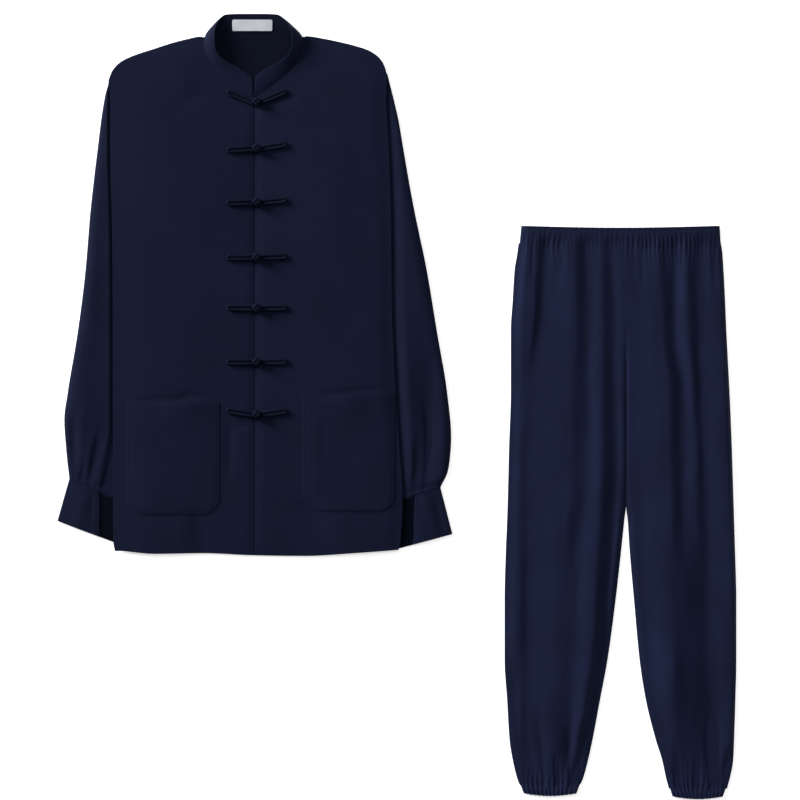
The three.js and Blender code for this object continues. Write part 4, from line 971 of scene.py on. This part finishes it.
# A frog is a loop with an eye on the left, a hairpin of cord on the right, and a knot
# that stands in the eye
def frogPieces(number, down, leftDown, rightDown):
    radius, apart = frog["cordRadius"], frog["cordRadius"] + 0.15
    eyeLeft, eyeRight = frog["knotAcross"] - frog["eyeRadius"], frog["knotAcross"] + frog["eyeRadius"]

    def slope(across):
        if across < eyeLeft:
            return mix(down, leftDown, (across - eyeLeft) / (frog["reachLeft"] - eyeLeft))
        return mix(down, rightDown, max(across - eyeRight, 0) / (frog["reachRight"] - eyeRight))

    def lay(across, offset):
        below = slope(across) - offset
        seat = float(frontTop(np.array(across), np.array(below)))
        return (across, -below, seat + 0.2 + radius)

    def arc(centre, size, start, end, steps):
        return [lay(centre + size * math.cos(a), size * math.sin(a)) for a in np.linspace(start, end, steps)]

    leftEnd = frog["reachLeft"] + radius + apart
    rightEnd = frog["reachRight"] - radius - apart
    loop = (arc(leftEnd, apart, math.pi / 2, math.pi * 1.5, 7) + [lay(x, -apart) for x in (-34, -22, -12, -5)]
            + arc(frog["knotAcross"], frog["eyeRadius"], -math.pi * 0.72, math.pi * 0.72, 9)
            + [lay(x, apart) for x in (-5, -12, -22, -34)])
    start = frog["knotAcross"] + frog["eyeRadius"] + radius + 0.6
    hairpin = ([lay(x, -apart) for x in (start, 20, 30, 40)]
               + arc(rightEnd, apart, -math.pi / 2, math.pi / 2, 7)
               + [lay(x, apart) for x in (40, 30, 20, start)])
    for form, hand, points, closed in (("Loop", "left", loop, True), ("Tail", "right", hairpin, False)):
        path = smoothPath(points, frog["pathStep"], closed)
        points, faces = cordMesh(path, radius, frog["sides"], closed)
        piece = meshObject(f"frog{form}{number}", points + jacketPlace, faces[:, ::-1], cordMaterial)
        dressed(piece, "navy_cord", f"frog_{number}_{hand}")

    # the knot is one cord woven three leads by four bights round a ball
    seat = float(frontTop(np.array(frog["knotAcross"]), np.array(down)))
    centre = np.array([frog["knotAcross"], -down, seat + 0.3 + 2 * radius + frog["knotRadius"] * 0.72])
    turn = np.linspace(0, 2 * math.pi, 220, endpoint=False)
    around, tilt = 3 * turn, 0.98 * np.sin(4 * turn)
    far = frog["knotRadius"] + 0.75 * np.cos(8 * turn + math.pi / 2)
    path = centre + np.stack([far * np.cos(around) * np.cos(tilt), far * np.sin(around) * np.cos(tilt),
                              far * np.sin(tilt) * 0.9], -1)
    points, faces = cordMesh(path, frog["knotCord"], 10, True)
    core, coreFaces = ballWithStem(centre, frog["knotRadius"] - 0.3, seat + 0.35)
    points, faces = np.concatenate([points, core]), np.concatenate([faces[:, ::-1], coreFaces + len(points)])
    piece = meshObject(f"frogKnot{number}", points + jacketPlace, faces, cordMaterial)
    dressed(piece, "navy_cord", f"frog_{number}_knot")


# The filling of a knot: a ball that runs down into the stem standing in the eye
def ballWithStem(centre, radius, foot):
    sides, stem = 16, 1.6
    tall = centre[2] - foot
    profile = [(0.05, radius), (radius * 0.5, radius * 0.87), (radius * 0.87, radius * 0.5), (radius, 0),
               (radius * 0.87, -radius * 0.5), (radius * 0.5, -radius * 0.87), (stem, -radius), (stem, -tall),
               (0.05, -tall)]
    turn = np.linspace(0, 2 * math.pi, sides, endpoint=False)
    points = np.concatenate([centre + np.stack([r * np.cos(turn), r * np.sin(turn), np.full(sides, z)], -1)
                             for r, z in profile])
    faces = gridFaces(len(profile), sides, True)
    caps = np.array([(0, i, i + 1, i + 2) for i in range(1, sides - 2, 2)])
    return points, np.concatenate([faces, caps, caps[:, ::-1] + (len(profile) - 1) * sides])


for number, (down, leftDown, rightDown) in enumerate(frogRows, 1):
    frogPieces(number, down, leftDown, rightDown)

# The trousers

print("building the trousers")
trousers = {"cloth": 1.1, "layer": 1.2, "gap": 0.4, "crotchDown": 443, "seamTop": 31.5,
            "gridStep": 1.7, "rowStep": 3.6, "width": 180,
            "tuck": 4, "tuckDrop": 1.6,  # what runs on under the casings
            "edgeRise": {"left": 18, "right": 6}, "lowest": 0.62,
            "backInset": 0.9}  # how far the back panels stay inside the fronts' outer edges
legSides = {
    "down": [31, 46, 70, 118, 166, 262, 358, 438, 470, 518, 598, 694, 758, 822, 854, 886, 896],
    "left": {"outer": [172, 174, 178, 181, 184, 184, 187, 189, 190, 192, 194, 194, 190, 186, 181, 173, 169],
             "inner": [-0.5, -0.5, -0.5, -0.5, -0.5, -0.3, -0.3, -0.3, 3, 8, 17, 30, 42, 54, 61, 70, 75]},
    "right": {"outer": [152, 154, 155.5, 158, 160, 165, 169, 171.5, 172.5, 174, 176, 176, 174.5, 172.5, 171,
                        165, 162],
              "inner": [-0.5, -0.5, -0.5, -0.5, -0.5, -0.3, -0.3, -0.3, 3, 6, 13, 22, 32, 48, 58, 65, 68]},
}
hems = {
    "left": {"top": 891.5, "bottom": 910.5, "outer": (170.5, 164), "inner": (72.5, 79)},
    "right": {"top": 896.5, "bottom": 915.5, "outer": (161.5, 155), "inner": (68.5, 74)},
}
# The long creases of each leg from its inner edge outwards: how far each one lies from the
# centre front, and how high it stands, at these distances down. High and low ones take
# turns: the cloth climbs slowly to a crest and falls away on its right.
creaseDown = [32, 110, 190, 260, 400, 534, 640, 726, 810, 895]
legCreases = {
    "left": [
        {"aside": [6, 6, 6, 6, 7, 16, 26, 38, 55, 78],
         "up": [3, 3, 3, 2.6, 2.8, 2.6, 2, 1.6, 1.6, 1.6]},
        {"aside": [22, 20, 18, 18, 18, 24, 31, 43, 60, 82],
         "up": [1.8, 1.6, 1.2, 0.8, 0.4, 0.3, 0.4, 0.6, 1, 1.4]},
        {"aside": [40, 39, 38, 39, 41, 51, 54, 64, 76, 92],
         "up": [4, 5.2, 6.4, 7.4, 8.8, 10, 10.2, 9.4, 6.8, 2.4]},
        {"aside": [64, 63, 61, 62, 63, 80, 84, 86, 90, 104],
         "up": [1.8, 1.8, 2, 3, 4, 4.8, 5, 4.6, 3.4, 1.4]},
        {"aside": [85, 84, 84, 88, 90, 104, 108, 114, 124, 122],
         "up": [5.6, 7, 7.6, 7.8, 7.6, 6.6, 6, 6.2, 7, 2.8]},
        {"aside": [131, 136, 143, 148, 156, 158, 158, 158, 158, 144],
         "up": [1, 1, 1.6, 2.4, 2.4, 2, 1.6, 1.6, 1.2, 1]},
        {"aside": [146, 147, 153, 161, 170, 172, 173, 172, 170, 156],
         "up": [5, 5.6, 4.6, 3.2, 3.4, 3.6, 3.6, 3.6, 3.6, 1.6]},
    ],
    "right": [
        {"aside": [6, 6, 6, 6, 7, 14, 24, 34, 52, 74],
         "up": [3, 3, 3, 2.2, 1.8, 1.6, 1.6, 1.6, 1.6, 1.6]},
        {"aside": [52, 54, 57, 67, 70, 70, 70, 72, 80, 92],
         "up": [5, 7, 7.6, 8, 8.8, 10.6, 11.4, 11, 8.4, 2.8]},
        {"aside": [74, 75, 77, 88, 92, 92, 92, 94, 102, 106],
         "up": [1.4, 1, 1.2, 1.6, 2, 6, 6.8, 6.6, 5, 1.8]},
        {"aside": [98, 98, 99, 106, 112, 112, 112, 114, 120, 122],
         "up": [4.6, 5.8, 5.8, 5.4, 4.4, 3, 3.2, 3.2, 3.2, 2]},
        {"aside": [117, 116, 116, 120, 126, 131, 131, 132, 141, 140],
         "up": [1, 1.2, 1.4, 1.6, 1.6, 0.2, 0, 0, 0.4, 0.8]},
        {"aside": [142, 147, 151, 155, 160, 165, 167, 167, 165, 153],
         "up": [3.2, 4.4, 4.8, 5, 5, 4.8, 4.6, 4.6, 4.2, 1.8]},
    ],
}
# short folds beside the seams and above the ankle hems
legFolds = [
    {"left": 8, "right": 14, "height": -3, "path": [(-188, 690), (-178, 789), (-165, 853), (-157, 898)]},
    {"left": 8, "right": 14, "height": -3.2, "path": [(-139, 780), (-132, 850), (-130, 904)]},
    {"left": 8, "right": 14, "height": -3.2, "path": [(-92, 810), (-84, 904)]},
    {"left": 6, "right": 9, "height": -2, "path": [(-113, 846), (-109, 904)]},
    {"left": 8, "right": 14, "height": -3.2, "path": [(82, 820), (87, 908)]},
    {"left": 9, "right": 14, "height": -3.2, "path": [(133, 790), (139, 908)]},
    {"left": 6, "right": 9, "height": -2, "path": [(112, 846), (113, 908)]},
    {"left": 6, "right": 9, "height": -2.6, "path": [(163, 835), (158, 904)]},
    {"left": 3, "right": 7, "height": -1.2, "path": [(24, 20), (26, 92)]},
    {"left": 3, "right": 6, "height": -1, "path": [(-150, 20), (-151, 84)]},
    {"left": 3, "right": 6, "height": -1, "path": [(139, 20), (141, 100)]},
    {"left": 3, "right": 6, "height": -0.9, "path": [(88, 20), (88, 76)]},
    {"left": 3, "right": 6, "height": -0.9, "path": [(-104, 20), (-102, 70)]},
]
legAt = {hand: {edge: throughRows(legSides["down"], legSides[hand][edge]) for edge in ("outer", "inner")}
         for hand in ("left", "right")}
trousersLie = {hand: [(throughRows(creaseDown, row["aside"]), throughRows(creaseDown, row["up"]))
                      for row in legCreases[hand]] for hand in ("left", "right")}


# How high the cloth stands at each point, row by row, with the rows level
def creaseHeight(hand, across, down):
    rows = down[:, 0]
    asides, ups = [], []
    for number, (asideAt, upAt) in enumerate(trousersLie[hand]):
        seed = 700 + 20 * (hand == "left" and number > 0) + number
        wander = 1.6 * softNoise(rows, 0 * rows, 75, seed) + 0.8 * softNoise(rows, 0 * rows, 27, seed + 50)
        asides.append(asideAt(rows) + wander)
        ups.append(upAt(rows) * (1 + 0.2 * softNoise(rows, 0 * rows, 80, seed + 100)))
    inner, outer = legAt[hand]["inner"](rows), legAt[hand]["outer"](rows)
    asides = np.maximum.accumulate(np.array([inner - 1] + asides + [outer + 1]), axis=0)
    asides = asides + np.arange(len(asides))[:, None] * 0.01
    ups = np.array([ups[0]] + ups + [ups[-1] * 0.8])
    return np.array([throughRows(asides[:, i], ups[:, i])(np.abs(across[i])) for i in range(len(rows))])


def legMiddle(hand, across, down):
    toOuter = legAt[hand]["outer"](down) - np.abs(across)
    toInner = across * signOf[hand] - legAt[hand]["inner"](down)
    openLeg = smoothstep(down, trousers["crotchDown"] - 60, trousers["crotchDown"] + 30)
    # the rise seam sinks in from a little below the waist
    sinking = smoothstep(down, 150, 250)
    sunk = mix(1, 0.3, sinking)
    innerEdge = mix(mix(sunk, 1, smoothstep(toInner, 0, 6)), smoothstep(toInner, 0, 10), openLeg)
    fromWaist = down - trousers["seamTop"]
    toAnkle = hems[hand]["top"] - down
    # fine gathers leave the waistband and the ankle hem and die out; there are fewer
    # over the left half of the belly
    fewer = 1 - 0.75 * smoothstep(across, -122, -96) * (1 - smoothstep(across, -12, 14))
    fewer = fewer * (0.8 + 0.4 * softNoise(across, 0 * down, 17, 80))
    ripple = np.sin(across * 2 * math.pi / 7 + 2.6 * softNoise(across, down, 19, 81))
    gathers = 0.95 * ripple * np.exp(-np.abs(fromWaist) / 15) * fewer
    broad = 0.7 * np.sin(across * 2 * math.pi / 21 + 2 * softNoise(across, down, 60, 82))
    broad = broad * np.exp(-fromWaist / 60)
    ankle = 0.8 * np.sin(across * 2 * math.pi / 8 + 2.4 * softNoise(across, down, 17, 83))
    ankle = ankle * np.exp(-toAnkle / 18)
    swell = 0.3 * softNoise(across, down / 3, 34, 84) + 0.3 * softNoise(across, down / 9, 13, 85)
    fine = 0.04 * softNoise(across, down, 9, 86)
    lift = creaseHeight(hand, across, down) + foldHeight(legFolds, across, down)
    lift = lift + gathers + broad * fewer + ankle + swell
    height = trousers["layer"] + trousers["gap"] + trousers["layer"] / 2 + fine * smoothstep(toOuter, 0, 6)
    height = height + np.maximum(lift, 0.1) * smoothstep(toOuter, 0, trousers["edgeRise"][hand]) * innerEdge
    height = height - 1 * (1 - quarterRound(toOuter, 1.6))
    drop = mix(1.2 * sinking, 1.4, openLeg)
    return height - drop * (1 - quarterRound(toInner, 2.6))


def legPanels(hand):
    sign = signOf[hand]
    tuck = trousers["tuck"]
    length = hems[hand]["top"] - 0.5 - trousers["seamTop"]
    down = trousers["seamTop"] + gridLines([-tuck, 40, length - 40, length + tuck], trousers["rowStep"])
    width = trousers["width"]
    s = gridLines([0, width], trousers["gridStep"]) / width
    downGrid = np.broadcast_to(down[:, None], (len(down), len(s)))
    inner, outer = legAt[hand]["inner"](down)[:, None], legAt[hand]["outer"](down)[:, None]
    across = sign * mix(inner, outer, s[None, :])
    height = legMiddle(hand, across, downGrid)
    toSeam = np.minimum(downGrid - trousers["seamTop"], hems[hand]["top"] - downGrid)
    height = height - trousers["tuckDrop"] * (1 - smoothstep(toSeam, -2.2, 0))
    height = np.maximum(height, trousers["lowest"])
    middle = np.stack([across, -downGrid, height], -1)
    piece = clothShell(f"leg{hand.title()}Front", trouserPlace, middle, trousers["cloth"], trouserMaterial)
    dressed(piece, "navy_cloth", f"leg_{hand}_front")
    down = trousers["seamTop"] + gridLines([0, length], 12, crowd=(0.2, 0.6))
    s = gridLines([0, width], 9, crowd=(0.2, 0.6)) / width
    downGrid = np.broadcast_to(down[:, None], (len(down), len(s)))
    inner = legAt[hand]["inner"](down)[:, None] + 0.6
    outer = legAt[hand]["outer"](down)[:, None] - trousers["backInset"]
    across = sign * mix(inner, outer, s[None, :])
    middle = np.stack([across, -downGrid, np.full(across.shape, trousers["layer"] / 2)], -1)
    piece = clothShell(f"leg{hand.title()}Back", trouserPlace, middle, trousers["cloth"], trouserMaterial)
    dressed(piece, "navy_cloth", f"leg_{hand}_back")


legPanels("left")
legPanels("right")

# topShare: how strong the pleats are at the top edge; blendOver: how far from the seam a
# casing's upper layer takes to leave the leg's form
waistband = {"height": 31, "thick": 8.2, "cloth": 1.8, "pleats": 38, "ripple": 0.42, "topShare": 0.4,
             "sag": 3, "left": (-168, -171), "right": (150, 152), "stitchedAt": (5,), "blendOver": 24}
ankleHem = {"thick": 5.2, "cloth": 1.6, "pleats": 13, "ripple": 0.7, "topShare": 1, "sag": 4,
            "stitchedAt": (), "blendOver": 12}
seamStep = -0.02  # a casing's middle against the leg's at their seam: their outsides are level


def legHeightAt(across, down):
    at = np.full((1, across.shape[-1]), down)
    row = across[None, :]
    return np.where(row < 0, legMiddle("left", row, at), legMiddle("right", row, at))[0]


# A gathered casing: a flattened tube whose upper layer is pleated, flat along its
# stitching, and level with the leg at the seam
def gatheredCasing(name, user, topLeft, topRight, bottomLeft, bottomRight, seed, seamBelow):
    sagTop, sagBottom = (user["sag"], 0) if seamBelow else (0, user["sag"])
    height = bottomLeft[1] - topLeft[1]
    t = gridLines([0, height], 1.3)[:, None] / height
    frontCount, backCount = user["pleats"] * 11, user["pleats"] * 3
    front = np.linspace(0, 1, frontCount)[None, :]
    back = np.linspace(1, 0, backCount)[None, 1:-1]
    share = np.concatenate([front, back], 1)
    onTop = np.arange(share.shape[1]) < frontCount
    left = [mix(topLeft[axis], bottomLeft[axis], t) for axis in (0, 1)]
    right = [mix(topRight[axis], bottomRight[axis], t) for axis in (0, 1)]
    across = mix(left[0] + user["cloth"] / 2, right[0] - user["cloth"] / 2, share)
    sag = mix(sagTop, sagBottom, t) * np.sin(math.pi * share)
    down = mix(left[1], right[1], share) + sag
    phase = share * user["pleats"] + 0.22 * softNoise(share * user["pleats"], t * 2, 1.7, seed)
    phase = phase + 0.12 * softNoise(share * user["pleats"], t * 6, 1.1, seed + 1)
    uneven = 0.62 + 0.38 * softNoise(share * user["pleats"], 0 * t, 2.6, seed + 2)
    nearSeam = mix(user["topShare"], 1, smoothstep(t * height, height * 0.3, height * 0.8))
    pleat = user["ripple"] * uneven * nearSeam * np.sin(2 * math.pi * phase)
    pleat = pleat + 0.3 * user["ripple"] * softNoise(share * user["pleats"] * 2.7, t * 3, 1, seed + 3)
    flat = np.ones(t.shape)
    for seam in user["stitchedAt"]:
        flat = flat - 0.3 * np.exp(-((t * height - seam) / 1.8) ** 2)
    crown = quarterRound(np.minimum(share, 1 - share), 0.05)
    half = user["cloth"] / 2
    inside = half * 2 + 0.6
    up = inside + (user["thick"] - half * 3 - 0.6) * crown + pleat * crown * flat - 1.1 * (1 - flat) * crown
    seamRow, seamDown = (-1, bottomLeft[1]) if seamBelow else (0, topLeft[1])
    joined = legHeightAt(across[seamRow], seamDown) + seamStep
    toSeam = (1 - t) * height if seamBelow else t * height
    up = mix(joined[None, :], up, smoothstep(toSeam, 0.5, user["blendOver"]))
    up = np.where(onTop[None, :], up, half)
    down = down + np.where(onTop[None, :], 0.5 * pleat * crown * (1 - 2 * t), 0)
    middle = np.stack(np.broadcast_arrays(across, -down, up), -1)
    piece = clothShell(name, trouserPlace, middle, user["cloth"] * 0.8, trouserMaterial, True)
    lines = []
    rowsOf = (t * height)[:, 0]
    columns = slice(6, frontCount - 6)
    for seam in user["stitchedAt"]:
        row = int(np.argmin(np.abs(rowsOf - seam)))
        line = middle[row, columns].copy()
        line[:, 2] += user["cloth"] * 0.4
        lines.append(line)
    return piece, lines


trouserSeams = []
piece, lines = gatheredCasing(
    "waistbandCasing", waistband, (waistband["left"][0], 0), (waistband["right"][0], 0),
    (waistband["left"][1], waistband["height"] + 1.6), (waistband["right"][1], waistband["height"] + 1.6),
    91, True)
trouserSeams += lines
dressed(piece, "navy_cloth", "waistband")
for hand, seed in (("left", 95), ("right", 99)):
    row = hems[hand]
    left, right = sorted(signOf[hand] * np.array([row["outer"], row["inner"]]), key=lambda end: end[0])
    top, bottom = row["top"] - 1.4, row["bottom"] - 3
    piece, lines = gatheredCasing(
        f"ankleHem{hand.title()}", ankleHem, (left[0], top), (right[0], top), (left[1], bottom),
        (right[1], bottom), seed, False)
    trouserSeams += lines
    dressed(piece, "navy_cloth", f"ankle_hem_{hand}")
dressed(stitchRuns("trouserStitches", trouserPlace, trouserSeams, threadMaterial), "navy_cloth")

# The studio: a pale floor, soft light from the upper left, the camera straight above
print("setting the studio")


def studioFloor():
    mesh = bpy.data.meshes.new("floorBoard")
    size = paleBoard["halfSize"]
    corners = [(-size, -size, 0), (size, -size, 0), (size, size, 0), (-size, size, 0)]
    mesh.from_pydata(corners, [], [(0, 1, 2, 3)])
    mesh.materials.append(mattLaminate("laminateMatt", paleBoard))
    board = bpy.data.objects.new("floor", mesh)
    board.location.z = -paleBoard["below"] * mm
    bpy.context.scene.collection.objects.link(board)


# Square soft lights, in metres and watts, all turned to the middle of the floor. The key
# light is low, at the upper left, so that the folds show.
studioLights = [
    {"name": "keyLight", "place": (-6.4, 3.8, 2.45), "size": 3.0, "power": 1360},
    {"name": "topLight", "place": (0.9, 1.4, 4), "size": 1.4, "power": 50},
    {"name": "fillLight", "place": (3.4, -0.6, 2.6), "size": 1.6, "power": 5},
]


def softLight(row):
    data = bpy.data.lights.new(row["name"], "AREA")
    data.shape, data.size, data.energy = "SQUARE", row["size"], row["power"]
    lamp = bpy.data.objects.new(row["name"], data)
    lamp.location = row["place"]
    x, y, z = row["place"]
    lamp.rotation_euler = (math.atan2(math.hypot(x, y), z), 0, math.atan2(x, -y))
    bpy.context.scene.collection.objects.link(lamp)


studioFloor()
for row in studioLights:
    softLight(row)
world = bpy.data.worlds.new("studioWorld")
world.use_nodes = True
background = world.node_tree.nodes["Background"]
background.inputs["Color"].default_value = fromHex(studio["worldColor"])
background.inputs["Strength"].default_value = studio["worldStrength"]
bpy.context.scene.world = world
bpy.context.scene.view_settings.view_transform = "Standard"

cameraData = bpy.data.cameras.new("photoCamera")
cameraData.lens, cameraData.sensor_width = studio["lens"], studio["sensor"]
viewWidth = studio["photoPixels"] * studio["millimetresPerPixel"] * mm
cameraHeight = studio["lens"] / studio["sensor"] * viewWidth
camera = bpy.data.objects.new("photoCamera", cameraData)
camera.location = (studio["lookAt"][0] * mm, studio["lookAt"][1] * mm, cameraHeight)
bpy.context.scene.collection.objects.link(camera)
bpy.context.scene.camera = camera
